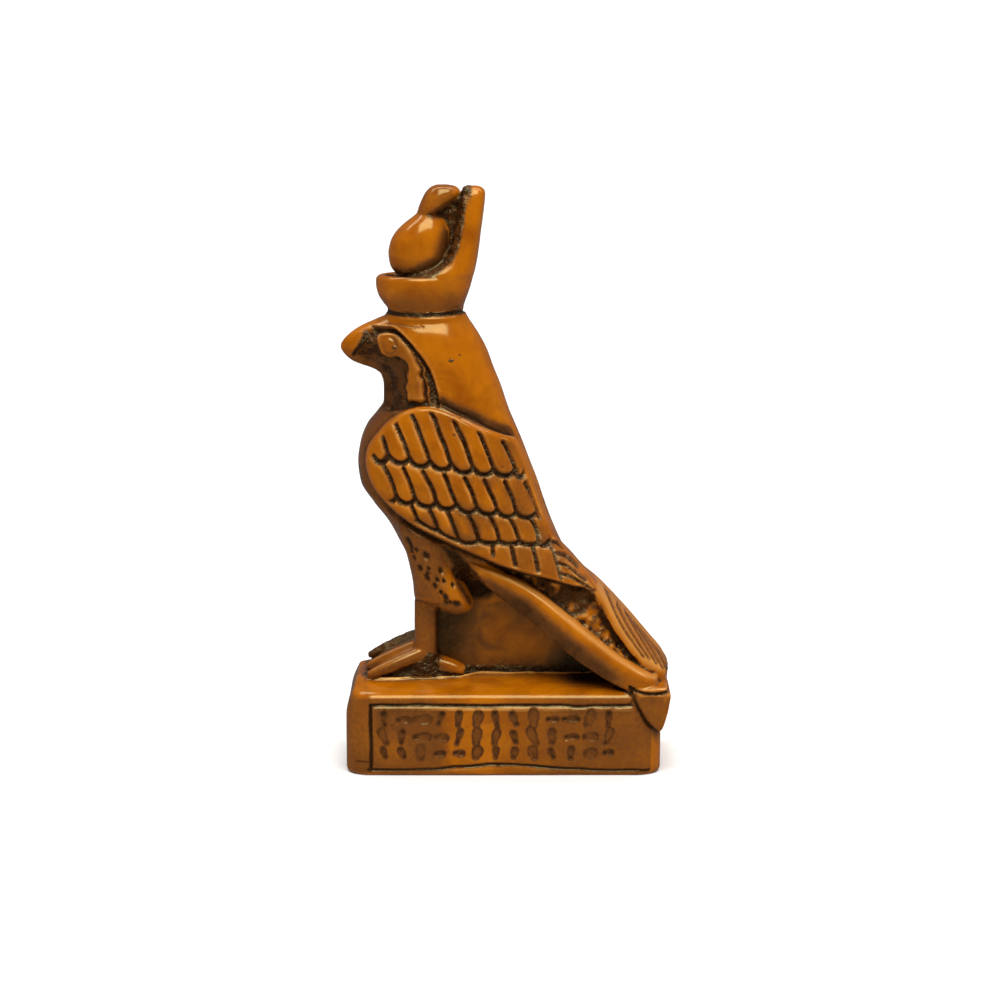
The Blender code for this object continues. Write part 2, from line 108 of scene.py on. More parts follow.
# %% [markdown]
# ## Curves through a few measures
# Every form below is given by a short table, like the stations of a boat's hull. Two kinds of curve read
# them. `through` never swings past the numbers given, which suits sections that must keep their width.
# `flowing` is rounder, which suits outlines and carved lines.


# %% Two ways of drawing a curve
def cubic(start, end, start_slope, end_slope, t):
    """A cubic from start to end, t from 0 to 1, with those slopes at its ends."""
    rise = t * t * (3 - 2 * t)
    return (
        start * (1 - rise)
        + end * rise
        + start_slope * t * (1 - t) ** 2
        - end_slope * t * t * (1 - t)
    )


def through(rows, count):
    """Reads a table at count places. The slope at a row is the harmonic mean of the steps before and after
    it, and level where they point opposite ways."""
    rows = np.asarray(rows, float)
    steps = np.diff(rows, axis=0)
    before, after = steps[:-1], steps[1:]
    agree = before * after > 0
    slopes = np.zeros_like(rows)
    slopes[1:-1] = np.where(agree, 2 * before * after / np.where(agree, before + after, 1), 0)
    slopes[0], slopes[-1] = steps[0], steps[-1]
    place = np.linspace(0, len(rows) - 1, count)
    i = np.minimum(place.astype(int), len(rows) - 2)
    return cubic(rows[i], rows[i + 1], slopes[i], slopes[i + 1], (place - i)[:, None])


def flowing(points, count, closed=False):
    """Reads a curve at count places. The slope at a point is half the step between its two neighbours."""
    points = np.asarray(points, float)
    if closed:
        points = np.vstack([points[-1], points, points[0], points[1]])
    else:
        points = np.vstack([2 * points[0] - points[1], points, 2 * points[-1] - points[-2]])
    slopes = (points[2:] - points[:-2]) / 2
    points = points[1:-1]
    place = np.linspace(0, len(points) - 1, count, endpoint=not closed)
    i = np.minimum(place.astype(int), len(points) - 2)
    return cubic(points[i], points[i + 1], slopes[i], slopes[i + 1], (place - i)[:, None])


print("curve check:", np.round(through([(0, 0), (1, 2), (2, 2)], 5)[:, 1], 2))

# %% [markdown]
# ## Level sections
# The body, the crown and the legs all have rounded level sections, so one recipe makes them. A section
# reaches from a front x to a back x and has a half width. Its corners are those of a superellipse, which is
# an ellipse at power 2 and grows squarer above it.


# %% Lofting level sections
def corner_power(value, power):
    return np.sign(value) * np.abs(value) ** (2 / power)


def level_loft(levels, rows, sides=72, offset=0.0):
    """Point (u, v): x = middle + reach * cos(u), y = half * sin(u), both with superellipse powers, at the
    height, front, back, half width and power that the table of levels has at v."""
    z, front, back, half, power = through(levels, rows).T[:, :, None]
    turn = np.linspace(0, 2 * np.pi, sides, endpoint=False)[None, :]
    x = (front + back) / 2 + (back - front) / 2 * corner_power(np.cos(turn), power)
    y = half * corner_power(np.sin(turn), power) + offset
    return np.stack([x, y, z + 0 * x], axis=-1)


def half_at(levels, x, z):
    """Half width of such a form at points of its side view."""
    table = through(sorted(levels), 240)
    front, back, half, power = (np.interp(z, table[:, 0], table[:, k]) for k in (1, 2, 3, 4))
    reach = np.clip(np.abs(2 * x - front - back) / (back - front), 0, 1)
    return half * (1 - reach**power) ** (1 / power)


def mirrored(form):
    """The same form on the other side of the figure."""
    return form * (1, -1, 1)


# %% [markdown]
# ## Body and wings
# The body is one tall loft from the crown's base to the belly. A folded wing is a plate laid on it, which
# follows a slightly larger body, so it bulges as the breast does, and only its rim is turned down. Cutting
# the larger body with a prism would do as well, but a plate made from its own outline has a clean rim. The
# far wing sits a little lower and further forward, so that it stays hidden from the near side.

# %% Body
BODY = [
    (80.4, -20.6, -7.5, 5.0, 2.0),
    (78.8, -21.3, -6.8, 5.6, 2.0),
    (77.4, -21.9, -5.9, 6.5, 2.0),
    (76.0, -22.2, -5.0, 7.2, 2.0),
    (73.0, -22.3, -3.4, 7.9, 2.0),
    (70.0, -22.2, -2.3, 8.1, 2.0),
    (67.0, -21.5, -1.1, 8.5, 2.1),
    (64.2, -21.5, -0.2, 8.9, 2.2),
    (62.2, -22.6, 0.5, 9.2, 2.2),
    (60.0, -24.3, 1.4, 9.6, 2.3),
    (57.0, -25.5, 2.6, 10.0, 2.4),
    (53.5, -26.0, 3.9, 10.2, 2.4),
    (50.0, -25.6, 5.3, 10.3, 2.4),
    (46.5, -23.5, 6.5, 10.3, 2.4),
    (43.0, -20.8, 7.8, 10.1, 2.5),
    (39.5, -18.9, 9.3, 9.7, 2.6),
    (36.5, -17.3, 10.8, 9.0, 2.8),
    (34.0, -16.0, 12.0, 7.0, 2.8),
    (32.6, -12.0, 10.0, 4.0, 2.4),
]
body = level_loft(BODY, 150, 96)

# %% Wing plates
WING = [
    (65.5, -22.6, -0.5, 9.3, 2.2),
    (62.2, -23.8, 0.7, 10.0, 2.3),
    (60.0, -25.0, 1.6, 10.5, 2.4),
    (57.0, -26.2, 2.7, 10.9, 2.4),
    (53.5, -26.8, 4.0, 11.2, 2.4),
    (50.0, -26.4, 5.5, 11.3, 2.4),
    (46.5, -24.6, 6.6, 11.4, 2.5),
    (43.0, -22.4, 8.0, 11.5, 2.6),
    (39.5, -20.4, 9.8, 11.6, 2.9),
    (36.0, -18.4, 12.9, 11.7, 3.3),
    (32.5, -16.4, 16.6, 11.7, 3.6),
    (30.0, -15.0, 18.8, 11.7, 3.8),
]
WING_TOP = [
    (-24.4, 53.9), (-24.0, 56.8), (-22.4, 59.2), (-20.1, 61.6), (-17.0, 63.5),
    (-14.0, 64.1), (-10.8, 63.5), (-7.4, 62.0), (-3.9, 60.3), (-0.6, 58.9),
    (1.9, 57.5), (3.9, 52.5), (5.6, 47.6), (7.7, 42.6), (9.4, 39.6),
    (12.2, 36.5), (15.4, 32.6),
]
WING_BOTTOM = [
    (12.2, 32.7), (7.6, 34.1), (3.0, 35.3), (-1.6, 36.8), (-6.0, 38.7),
    (-12.0, 41.4), (-16.0, 43.4), (-19.5, 45.8), (-22.0, 48.2), (-23.7, 50.9),
]
WING_RIM = 1.0
PLATE_ROOT = 0.35


def plate(outline, levels, rim):
    """Point (u, v): v runs from the inside over the rim to the middle. In side view it lies on the line from
    the outline's middle to the outline at u. Its y is the larger body's half width there, lowered along a
    quarter circle of radius rim beside the outline. Two more rings, at the share PLATE_ROOT of that y, close
    the plate inside the body."""
    edge = flowing(outline, 220, closed=True)
    middle = edge.mean(axis=0)
    radius = np.linalg.norm(edge - middle, axis=1)
    over_rim = rim * np.linspace(0, 1, 7)
    past_rim = rim + (radius.min() - rim) * np.linspace(0.2, 0.96, 9)
    inward = np.concatenate([over_rim, past_rim])
    drop = rim - np.sqrt(np.maximum(rim**2 - np.maximum(rim - inward, 0) ** 2, 0))
    share = 1 - inward[:, None] / radius.min()
    share = np.where(inward[:, None] > rim, share, 1 - inward[:, None] / radius)
    side_view = middle + share[:, :, None] * (edge - middle)
    outer = half_at(levels, side_view[..., 0], side_view[..., 1])
    sunk = np.minimum(drop[:, None], outer * 0.6)
    rings = np.stack([side_view[..., 0], outer - sunk, side_view[..., 1]], axis=-1)
    root = rings[:1] * (1, PLATE_ROOT, 1)
    core = middle + 0.05 * (edge - middle)
    core_y = PLATE_ROOT * rings[0, :, 1].mean() + 0 * radius
    core = np.stack([core[:, 0], core_y, core[:, 1]], axis=-1)
    return np.concatenate([core[None], root, rings])


wing = plate(WING_TOP + WING_BOTTOM, WING, WING_RIM)
FAR_WING_SHIFT = np.array([-1.7, 0.0, -1.0])
forms = [body, mirrored(wing), wing + FAR_WING_SHIFT]
print("wing plate of", wing.shape[0] * wing.shape[1], "points")

# %% [markdown]
# ## Beak, crown and the bulb in it
# The beak narrows forwards, so its sections stand upright across x. The crown is a flaring cup whose wall
# turns over at the rim and comes down again inside, one surface with no Boolean. The tall plate behind and
# the bulb with its small ball are lofts that the fusing step joins.

# %% Beak
BEAK = [
    (-28.9, 73.2, 74.0, 0.4),
    (-28.3, 72.3, 74.9, 1.0),
    (-26.9, 71.1, 76.2, 1.9),
    (-25.2, 70.4, 77.3, 3.0),
    (-23.2, 69.7, 78.2, 4.4),
    (-21.0, 68.2, 79.0, 5.4),
    (-18.0, 66.5, 79.2, 6.0),
    (-14.0, 66.5, 79.0, 6.0),
]


def upright_loft(stations, rows, sides=48):
    """Point (u, v): upright ellipses across x, each between a lower and an upper z, with a half width."""
    x, low, high, half = through(stations, rows).T[:, :, None]
    turn = np.linspace(0, 2 * np.pi, sides, endpoint=False)[None, :]
    z = (low + high) / 2 + (high - low) / 2 * np.sin(turn)
    return np.stack([x + 0 * z, half * np.cos(turn), z], axis=-1)


forms.append(upright_loft(BEAK, 60))

# %% Crown
CROWN = [
    (77.6, -20.2, -7.7, 5.0, 2.0),
    (78.5, -21.0, -7.0, 6.1, 2.0),
    (78.9, -21.0, -7.0, 6.15, 2.0),
    (79.4, -20.5, -7.5, 5.7, 2.0),
    (80.0, -20.6, -7.6, 5.6, 2.0),
    (81.0, -21.4, -7.3, 6.1, 2.0),
    (82.6, -22.4, -6.8, 6.8, 2.0),
    (84.3, -22.8, -6.4, 7.2, 2.0),
    (85.3, -22.8, -6.2, 7.2, 2.0),
    (86.0, -22.3, -6.4, 6.8, 2.0),
    (86.2, -21.7, -7.0, 6.3, 2.0),
    (85.8, -21.2, -8.0, 5.8, 2.0),
    (85.0, -20.8, -9.0, 5.4, 2.0),
    (84.2, -19.0, -10.5, 4.0, 2.0),
]
SPIKE = [
    (80.8, -12.4, -7.4, 4.8, 2.2),
    (84.0, -15.0, -6.2, 6.2, 2.4),
    (85.6, -18.6, -5.8, 6.5, 2.8),
    (86.3, -16.4, -5.6, 6.5, 2.8),
    (87.2, -13.6, -5.4, 6.2, 2.8),
    (88.6, -11.3, -5.15, 5.7, 2.8),
    (91.0, -9.8, -4.8, 5.0, 2.8),
    (93.4, -9.1, -4.5, 4.5, 2.8),
    (96.2, -8.6, -4.1, 3.9, 2.8),
    (98.8, -8.2, -3.8, 3.2, 2.6),
    (100.2, -7.9, -3.7, 2.7, 2.4),
    (101.0, -7.4, -4.1, 2.1, 2.2),
    (101.4, -6.5, -4.9, 1.2, 2.0),
]
BULB = [
    (85.6, -18.4, -12.6, 3.2, 2.0),
    (86.6, -19.7, -11.6, 4.3, 2.0),
    (88.0, -20.4, -10.7, 5.0, 2.0),
    (89.8, -20.6, -10.1, 5.3, 2.0),
    (91.8, -20.2, -9.9, 5.2, 2.0),
    (93.4, -19.3, -9.9, 4.8, 2.0),
    (94.8, -17.9, -10.4, 4.1, 2.0),
    (96.0, -16.3, -11.2, 3.1, 2.0),
    (96.9, -15.2, -12.2, 1.9, 2.0),
]
BALL = [
    (95.6, -15.6, -13.4, 1.6, 2.0),
    (96.8, -15.45, -12.0, 2.6, 2.0),
    (98.0, -15.1, -10.4, 3.1, 2.0),
    (99.2, -14.6, -8.9, 3.2, 2.0),
    (100.3, -14.0, -8.1, 2.9, 2.0),
    (101.2, -13.1, -8.7, 2.2, 2.0),
    (HEIGHT, -12.1, -10.2, 1.0, 2.0),
]
CROWN_GROUND = [
    (84.0, -16.0, -6.8, 1.6, 2.4),
    (90.0, -15.0, -6.2, 1.2, 2.4),
    (96.0, -14.5, -5.4, 1.0, 2.4),
    (99.4, -12.0, -5.2, 1.0, 2.4),
    (100.3, -10.5, -5.4, 0.9, 2.4),
]
for levels, rows in ((CROWN, 90), (SPIKE, 70), (BULB, 50), (BALL, 40), (CROWN_GROUND, 20)):
    forms.append(level_loft(levels, rows))

# %% [markdown]
# ## Legs and feet
# Each leg is a feathered thigh over a plain shank. The toes are tapering bars with rounded ends that lie
# flat on the ground of the plinth: three in front and one behind. A low core fills the space between them,
# as it does in a casting that has to leave its mould.

# %% Legs and feet
THIGH = [
    (45.0, -20.0, -6.5, 4.2, 2.2),
    (41.5, -18.9, -8.6, 4.9, 2.2),
    (38.0, -17.6, -9.6, 5.2, 2.2),
    (35.2, -16.9, -8.9, 5.3, 2.2),
    (32.6, -16.4, -7.4, 5.1, 2.3),
    (30.4, -16.2, -6.3, 4.6, 2.4),
    (29.2, -15.0, -5.9, 3.9, 2.3),
    (28.0, -12.2, -6.1, 3.0, 2.2),
    (27.2, -10.2, -7.1, 1.8, 2.2),
]
SHANK = [
    (31.0, -16.15, -12.1, 2.5, 2.8),
    (24.0, -16.15, -12.2, 2.4, 2.8),
    (20.0, -16.4, -12.1, 2.7, 2.8),
    (17.0, -17.0, -11.9, 3.0, 2.8),
    (15.0, -17.2, -11.8, 3.0, 2.8),
]
FOOT_CORE = [
    (15.4, -23.6, -8.2, 2.9, 2.4),
    (16.6, -22.8, -8.6, 2.7, 2.4),
    (18.0, -19.8, -10.6, 2.2, 2.2),
    (19.4, -17.6, -12.2, 1.9, 2.0),
    (20.6, -16.4, -13.4, 1.3, 2.0),
]
TOES = [
    ((-15.0, 1.5, 20.2), (-23.3, 2.9, 16.9), (1.8, 1.5), (1.2, 1.0)),
    ((-15.0, -0.2, 21.2), (-23.5, 0.0, 17.7), (1.6, 1.6), (1.3, 1.2)),
    ((-15.0, -1.8, 20.6), (-22.4, -2.9, 17.2), (1.6, 1.5), (1.2, 1.2)),
    ((-12.4, 0.7, 18.3), (-9.0, 0.9, 17.3), (1.9, 1.7), (1.7, 1.4)),
]


def toe(start, end, start_size, end_size, rows=40, sides=32):
    """Point (u, v): a bar along the line from start to end. Its breadth and height go from the first size to
    the second, and at each end the section closes along a quarter circle."""
    start, end, start_size, end_size = (np.array(value) for value in (start, end, start_size, end_size))
    length = np.linalg.norm(end - start)
    ahead = (end - start) / length
    side = np.cross(ahead, (0, 0, 1))
    side /= np.linalg.norm(side)
    up = np.cross(side, ahead)
    sweep = np.linspace(-np.pi / 2, np.pi / 2, rows)
    share = (np.sin(sweep) + 1) / 2
    size = start_size + share[:, None] * (end_size - start_size)
    reach = share * length + np.sin(sweep) * size[:, 0]
    closing = np.maximum(np.cos(sweep), 0.02) ** 0.45
    turn = np.linspace(0, 2 * np.pi, sides, endpoint=False)
    out = size[:, :1] * closing[:, None] * np.cos(turn)
    rise = size[:, 1:] * closing[:, None] * np.sin(turn)
    return start + ahead * reach[:, None, None] + side * out[..., None] + up * rise[..., None]


for hand in (-1, 1):
    forms.append(level_loft(THIGH, 60, offset=hand * THIGH_OFFSET))
    forms.append(level_loft(SHANK, 30, offset=hand * LEG_OFFSET))
    forms.append(level_loft(FOOT_CORE, 20, offset=hand * LEG_OFFSET))
    for start, end, start_size, end_size in TOES:
        start, end = ((x, hand * (LEG_OFFSET + y), z) for x, y, z in (start, end))
        forms.append(toe(start, end, start_size, end_size))

# %% [markdown]
# ## Tail
# The tail runs down from the back to the plinth in stations, like a keel: a ridge, the folded flight
# feathers as a low block on it, a shelf, and a rounded bar along each side. Between legs and tail the mould
# was left filled, with a thin wall. At the end the tail folds over the plinth's edge.

# %% Tail
TAIL = [
    ((5.0, 43.2), (7.4, 4.6, 42.2), (9.5, -6.2, 37.4), (-7.2, 35.4)),
    ((8.3, 39.8), (8.9, 8.0, 39.0), (10.3, -0.6, 35.3), (-2.3, 31.3)),
    ((11.4, 36.4), (9.6, 11.6, 35.8), (11.0, 5.8, 31.5), (3.3, 27.2)),
    ((15.9, 32.7), (9.8, 15.0, 32.0), (12.1, 10.9, 27.5), (7.7, 23.4)),
    ((20.5, 27.9), (9.8, 18.3, 26.6), (13.0, 16.5, 23.1), (13.3, 19.0)),
    ((24.8, 22.9), (9.7, 22.4, 20.9), (13.3, 21.7, 19.3), (18.6, 15.7)),
    ((27.5, 19.6), (9.3, 25.3, 18.3), (13.3, 24.4, 17.7), (21.9, 14.3)),
    ((28.5, 17.4), (8.8, 27.2, 16.9), (12.6, 26.0, 16.6), (24.2, 14.3)),
    ((28.4, 15.6), (8.0, 27.4, 15.2), (10.6, 26.6, 14.9), (25.2, 14.1)),
]
TAIL_TWIST = np.array([0.14, 0.09])
FILLING = [(-13.4, 15.2), (-13.4, 32.0), (-4.0, 36.0), (4.0, 33.0), (22.0, 20.5), (22.0, 15.2)]
FILLING_HALF_WIDTH = 3.0
TAIL_TIP = [
    (21.4, 15.0), (22.7, 12.2), (24.6, 9.4), (26.1, 7.9), (27.0, 8.3),
    (27.8, 10.6), (28.25, 12.8), (28.4, 14.4), (27.6, 15.6), (24.6, 15.6),
]
TAIL_TIP_HALF_WIDTH = 13.75


def tail_loft(stations, rows):
    """Point (u, v): u goes round the section from the ridge over block, shelf and bar to the underside, and
    v runs down the tail through the stations. The far half is twisted a little forward and down."""
    sections = []
    for ridge, (block, block_x, block_z), (bar, bar_x, bar_z), (under_x, under_z) in stations:
        half = [
            (0.45 * block, 0.85 * ridge[0] + 0.15 * block_x, 0.85 * ridge[1] + 0.15 * block_z),
            (0.75 * block, 0.6 * ridge[0] + 0.4 * block_x, 0.6 * ridge[1] + 0.4 * block_z),
            (0.93 * block, 0.25 * ridge[0] + 0.75 * block_x, 0.25 * ridge[1] + 0.75 * block_z),
            (block, block_x - 0.4, block_z - 0.6),
            (block - 1.3, block_x - 0.7, block_z - 1.0),
            (bar - 3.0, bar_x + 0.2, bar_z + 0.1),
            (bar - 1.4, bar_x, bar_z),
            (bar - 0.4, bar_x - 0.3, bar_z - 0.4),
            (bar, 0.75 * bar_x + 0.25 * under_x, 0.75 * bar_z + 0.25 * under_z),
            (bar, 0.4 * bar_x + 0.6 * under_x, 0.4 * bar_z + 0.6 * under_z),
            (bar - 0.8, under_x + 0.1, under_z + 0.1),
            (bar * 0.4, under_x + 0.4, under_z + 0.5),
        ]
        ring = [(ridge[0], 0.0, ridge[1])] + [(x, -y, z) for y, x, z in half]
        far_half = [(x - TAIL_TWIST[0] * y, y, z - TAIL_TWIST[1] * y) for y, x, z in half]
        ring += [(under_x, 0.0, under_z + 0.3)] + far_half[::-1]
        sections.append(np.ravel(ring))
    return through(sections, rows).reshape(rows, -1, 3)


def slab(outline, half_width, edge):
    """Point (u, v): a side-view outline carried across the figure; next to each face it draws in along a
    quarter circle of radius edge."""
    rim = flowing(outline, 120, closed=True) if edge else np.array(outline, float)
    middle = rim.mean(axis=0)
    quarter = np.linspace(0, np.pi / 2, 6)
    y = half_width - edge * (1 - np.sin(quarter))
    inset = edge * (1 - np.cos(quarter))
    y = np.concatenate([-y[::-1], y])
    inset = np.concatenate([inset[::-1], inset])
    radius = np.linalg.norm(rim - middle, axis=1)
    share = 1 - inset[:, None] / radius
    side_view = middle + share[:, :, None] * (rim - middle)
    return np.stack([side_view[..., 0], y[:, None] + 0 * share, side_view[..., 1]], axis=-1)


forms += [
    tail_loft(TAIL, 80),
    slab(FILLING, FILLING_HALF_WIDTH, 0),
    slab(TAIL_TIP, TAIL_TIP_HALF_WIDTH, 0.7),
]

# %% [markdown]
# ## Plinth
# A block with straight walls. Its top falls away gently to both long sides before the edge turns down. So a
# rounded rectangle is carried up a profile that draws in along and across by different amounts.

# %% Plinth


def rounded_rectangle(reach_x, reach_y, corner, steps=12):
    """A ring of points: four quarter circles of radius corner, joined by the straight sides."""
    arc = np.linspace(0, np.pi / 2, steps)
    turn = (arc[None, :] + np.arange(4)[:, None] * np.pi / 2).ravel()
    sign_x = np.repeat([1, -1, -1, 1], steps)
    sign_y = np.repeat([1, 1, -1, -1], steps)
    x = sign_x * (reach_x - corner) + corner * np.cos(turn)
    y = sign_y * (reach_y - corner) + corner * np.sin(turn)
    return np.stack([x, y], axis=-1)


PLINTH_PROFILE = [
    (0.0, 0.6, 0.6),
    (0.25, 0.25, 0.25),
    (0.8, 0.0, 0.0),
    (4.0, 0.0, 0.0),
    (9.8, 0.0, 0.0),
    (12.0, 0.3, 0.0),
    (13.2, 0.7, 0.05),
    (13.9, 1.0, 0.35),
    (14.4, 1.2, 0.9),
    (14.8, 1.35, 1.8),
    (15.2, 1.5, 3.1),
    (15.6, 1.6, 4.6),
    (15.9, 1.9, 6.2),
    (PLINTH_TOP, 2.6, 7.4),
]


def block():
    """Point (u, v): the rounded rectangle at u, drawn in along and across by the profile at v."""
    middle = (PLINTH_FRONT + PLINTH_BACK) / 2
    reach = (PLINTH_BACK - PLINTH_FRONT) / 2
    rings = []
    for z, along, across in through(PLINTH_PROFILE, 60):
        corner = max(PLINTH_CORNER - 0.4 * across, 1.6)
        ring = rounded_rectangle(reach - along, PLINTH_HALF_WIDTH - across, corner)
        rings.append(np.column_stack([ring[:, 0] + middle, ring[:, 1], np.full(len(ring), z)]))
    return np.array(rings)


forms.append(block())
print("forms:", len(forms))

# %% [markdown]
# ## One skin
# Twenty-seven overlapping forms are not yet a casting. A voxel remesh fills them with small cells and draws
# one even skin around the whole, so every later step sees a single closed surface. Cells of a fifth of a
# millimetre are fine enough for the carved lines. Two rounds of averaging take the cell pattern out.


# %% Fuse the forms
def put_in_mesh(name, points, faces):
    """A mesh object from a point array and an array of quads or triangles."""
    mesh = bpy.data.meshes.new(name)
    mesh.from_pydata(points.tolist(), [], faces)
    made = bpy.data.objects.new(name, mesh)
    bpy.context.scene.collection.objects.link(made)
    return made


def quads_of(rows, columns):
    """Each cell of a grid that wraps round in u, and the two rings that close it."""
    i = np.arange(rows - 1)[:, None] * columns + np.arange(columns)
    j = np.arange(rows - 1)[:, None] * columns + (np.arange(columns) + 1) % columns
    quads = np.stack([i, j, j + columns, i + columns], axis=-1).reshape(-1, 4)
    return quads.tolist() + [list(range(columns))[::-1], list(range((rows - 1) * columns, rows * columns))]


points, faces, start = [], [], 0
for form in forms:
    points.append(form.reshape(-1, 3))
    faces += [[corner + start for corner in face] for face in quads_of(*form.shape[:2])]
    start += len(points[-1])
blank = put_in_mesh("blank", np.concatenate(points), faces)
remesh = blank.modifiers.new("skin", "REMESH")
remesh.mode = "VOXEL"
remesh.voxel_size = VOXEL
remesh.adaptivity = 0.0
evaluated = blank.evaluated_get(bpy.context.evaluated_depsgraph_get())
skin = bpy.data.meshes.new_from_object(evaluated)
bpy.data.objects.remove(blank)
place = np.empty(len(skin.vertices) * 3, np.float32)
skin.vertices.foreach_get("co", place)
place = place.reshape(-1, 3).astype(float)
corners = np.empty(len(skin.loops), np.int32)
skin.loops.foreach_get("vertex_index", corners)
quads = corners.reshape(-1, 4)
edges = np.empty(len(skin.edges) * 2, np.int32)
skin.edges.foreach_get("vertices", edges)
edges = edges.reshape(-1, 2)
print("skin:", len(place), "points,", len(quads), "quads")


# %% [markdown]
# ## Averaging and normals
# Three small tools work on the whole skin at once. `averaged` replaces a value by the mean of its
# neighbours. `normals` adds up the directions of the faces round each point. `grain` is a soft random field
# in space, for everything that should look handmade or gritty.


# %% Tools for the skin
COUNT = np.bincount(edges.ravel(), minlength=len(place)).astype(float)


def averaged(values, rounds, share=1.0):
    """Moves each value that share of the way to the mean of its neighbours' values, rounds times."""
    values = values.astype(float)
    for _ in range(rounds):
        for k in range(values.shape[1]):
            total = np.bincount(edges[:, 0], values[edges[:, 1], k], len(values))
            total += np.bincount(edges[:, 1], values[edges[:, 0], k], len(values))
            values[:, k] += share * (total / COUNT - values[:, k])
    return values


def unit(vectors):
    return vectors / np.maximum(np.linalg.norm(vectors, axis=1, keepdims=True), 1e-9)


def normals(points):
    """Sum of the crossed diagonals of the quads round each point, made one long."""
    cross = np.cross(points[quads[:, 2]] - points[quads[:, 0]], points[quads[:, 3]] - points[quads[:, 1]])
    total = np.zeros_like(points)
    for k in range(3):
        for corner in range(4):
            total[:, k] += np.bincount(quads[:, corner], cross[:, k], len(points))
    return unit(total)


def grain(points, size, seed):
    """Random numbers from 0 to 1 on a lattice of that size in mm, blended smoothly in between."""
    scaled = points / size
    cell = np.floor(scaled)
    part = scaled - cell
    part = part * part * (3 - 2 * part)
    total = np.zeros(len(points))
    for corner in np.ndindex(2, 2, 2):
        spot = (cell + corner) @ (127.1, 311.7, 74.7) + seed * 19.19
        value = np.modf(np.abs(np.sin(spot)) * 43758.5453)[0]
        weight = np.prod(np.where(corner, part, 1 - part), axis=1)
        total += value * weight
    return total


def fade(value, start, end):
    """0 before start, 1 after end, and a smooth step between."""
    t = np.clip((value - start) / (end - start), 0, 1)
    return t * t * (3 - 2 * t)


SMOOTHING_ROUNDS = 2
SMOOTHING_SHARE = 0.6
ROUNDS_FOR_NORMALS = 6
place = averaged(place, SMOOTHING_ROUNDS, SMOOTHING_SHARE)
facing_out = normals(averaged(place, ROUNDS_FOR_NORMALS))
signed = np.sum(facing_out[:, 2] * (place[:, 2] - place[:, 2].mean()))
print("faces point", "out" if signed > 0 else "in")

# %% [markdown]
# ## Carving
# The carver works from the side, so a carved line is a path in the side view. `apart` gives every point's
# distance from a path and `inside` its depth within an outline. From those come round-bottomed lines, sunk
# fields and raised lips. Each cut is noted twice: in `push`, which moves the skin, and in the brown layer,
# the share of brown that stays there. That layer is the wash, and in some places painted shade too. THICK
# brown hides the resin, and DARK nearly does. The pale layer is where the wash is rubbed off, and where
# highlights are painted on; `gritty` is where the skin is rough.

# %% Distances in the side view
at_x, at_y, at_z = place.T
far_wing = (at_y > 0) * fade(at_z, 32.0, 35.0) * (1 - fade(at_z, 62.0, 64.0))
side_view = place[:, [0, 2]] - far_wing[:, None] * FAR_WING_SHIFT[[0, 2]]
side_x, side_z = side_view.T
off_middle = np.abs(at_y)
turned_out = np.abs(facing_out[:, 1])
sideways = fade(turned_out, 0.12, 0.45)
WOBBLE_LENGTH = 3.1
WOBBLE = 0.42
wobble = np.column_stack([grain(place, WOBBLE_LENGTH, seed) - 0.5 for seed in (1, 2)]) * WOBBLE
drawn = side_view + wobble
push = np.zeros(len(place))
wash_and_shade = np.zeros(len(place))
wear_and_highlight = np.zeros(len(place))
gritty = np.zeros(len(place))
everywhere = np.ones(len(place))
FAR = 99.0
THICK = 0.95
DARK = 0.85


def apart(path, reach, at=None):
    """Distance from a side-view path, for points within reach of it, and FAR for the rest."""
    at = drawn if at is None else at
    path = np.asarray(path, float)
    near = np.all((at > path.min(axis=0) - reach) & (at < path.max(axis=0) + reach), axis=1)
    spot = at[near][:, None, :]
    run = path[1:] - path[:-1]
    share = np.clip(np.sum((spot - path[:-1]) * run, axis=2) / np.sum(run * run, axis=1), 0, 1)
    distance = np.full(len(at), FAR)
    distance[near] = np.linalg.norm(spot - path[:-1] - share[:, :, None] * run, axis=2).min(axis=1)
    return distance


def inside(outline, reach=4.0, at=None):
    """Depth inside a side-view outline, negative outside it."""
    at = drawn if at is None else at
    loop = np.vstack([outline, outline[:1]])
    distance = np.minimum(apart(loop, reach, at), reach)
    x, z = at[:, :1], at[:, 1:]
    x0, z0, x1, z1 = loop[:-1, 0], loop[:-1, 1], loop[1:, 0], loop[1:, 1]
    spans = (z0 > z) != (z1 > z)
    level = np.where(z1 == z0, 1.0, z1 - z0)
    crossings = np.sum(spans & (x < x0 + (z - z0) / level * (x1 - x0)), axis=1)
    return np.where(crossings % 2 == 1, distance, -distance)


def uneven(low, swing, size, seed):
    """Patches of that size in mm, from low to low + swing."""
    return low + swing * grain(place, size, seed)


def stain_and_shade(amount, brown, rough=1.0):
    """Leaves that much brown where amount is 1, as wash and as painted shade, and grit in that share of it.
    """
    global wash_and_shade, gritty
    wash_and_shade = np.maximum(wash_and_shade, brown * np.clip(amount, 0, 1))
    gritty = np.maximum(gritty, rough * brown * np.clip(amount, 0, 1))


def sink(amount, depth, brown, rough=1.0):
    """Pushes the skin in by depth where amount is 1, and darkens it: wash in most cuts, painted shade in a
    few.
    """
    global push
    push = np.where(amount > 0, np.minimum(push, -depth * amount), push)
    stain_and_shade(amount, brown, rough)


def line(path, width, depth, brown, where, at=None):
    """A round-bottomed cut along a path, and a softer stain that reaches past its edges."""
    distance = apart(path, width, at)
    sink(np.clip(1 - (distance / (width / 2)) ** 2, 0, 1) * where, depth, 0.0)
    stain_and_shade(fade(-distance, -width * 0.72, -width * 0.22) * where, brown)


# %% [markdown]
# ## Feathers
# On the wing, three rows of feathers lie over each other. Lines part the feathers of a row and lean forwards
# as they rise. Under each row a scalloped line runs from foot to foot, sagging below each feather's round
# end. The rows follow from a first place, a spacing and a lean, as a carver sets them out with dividers.

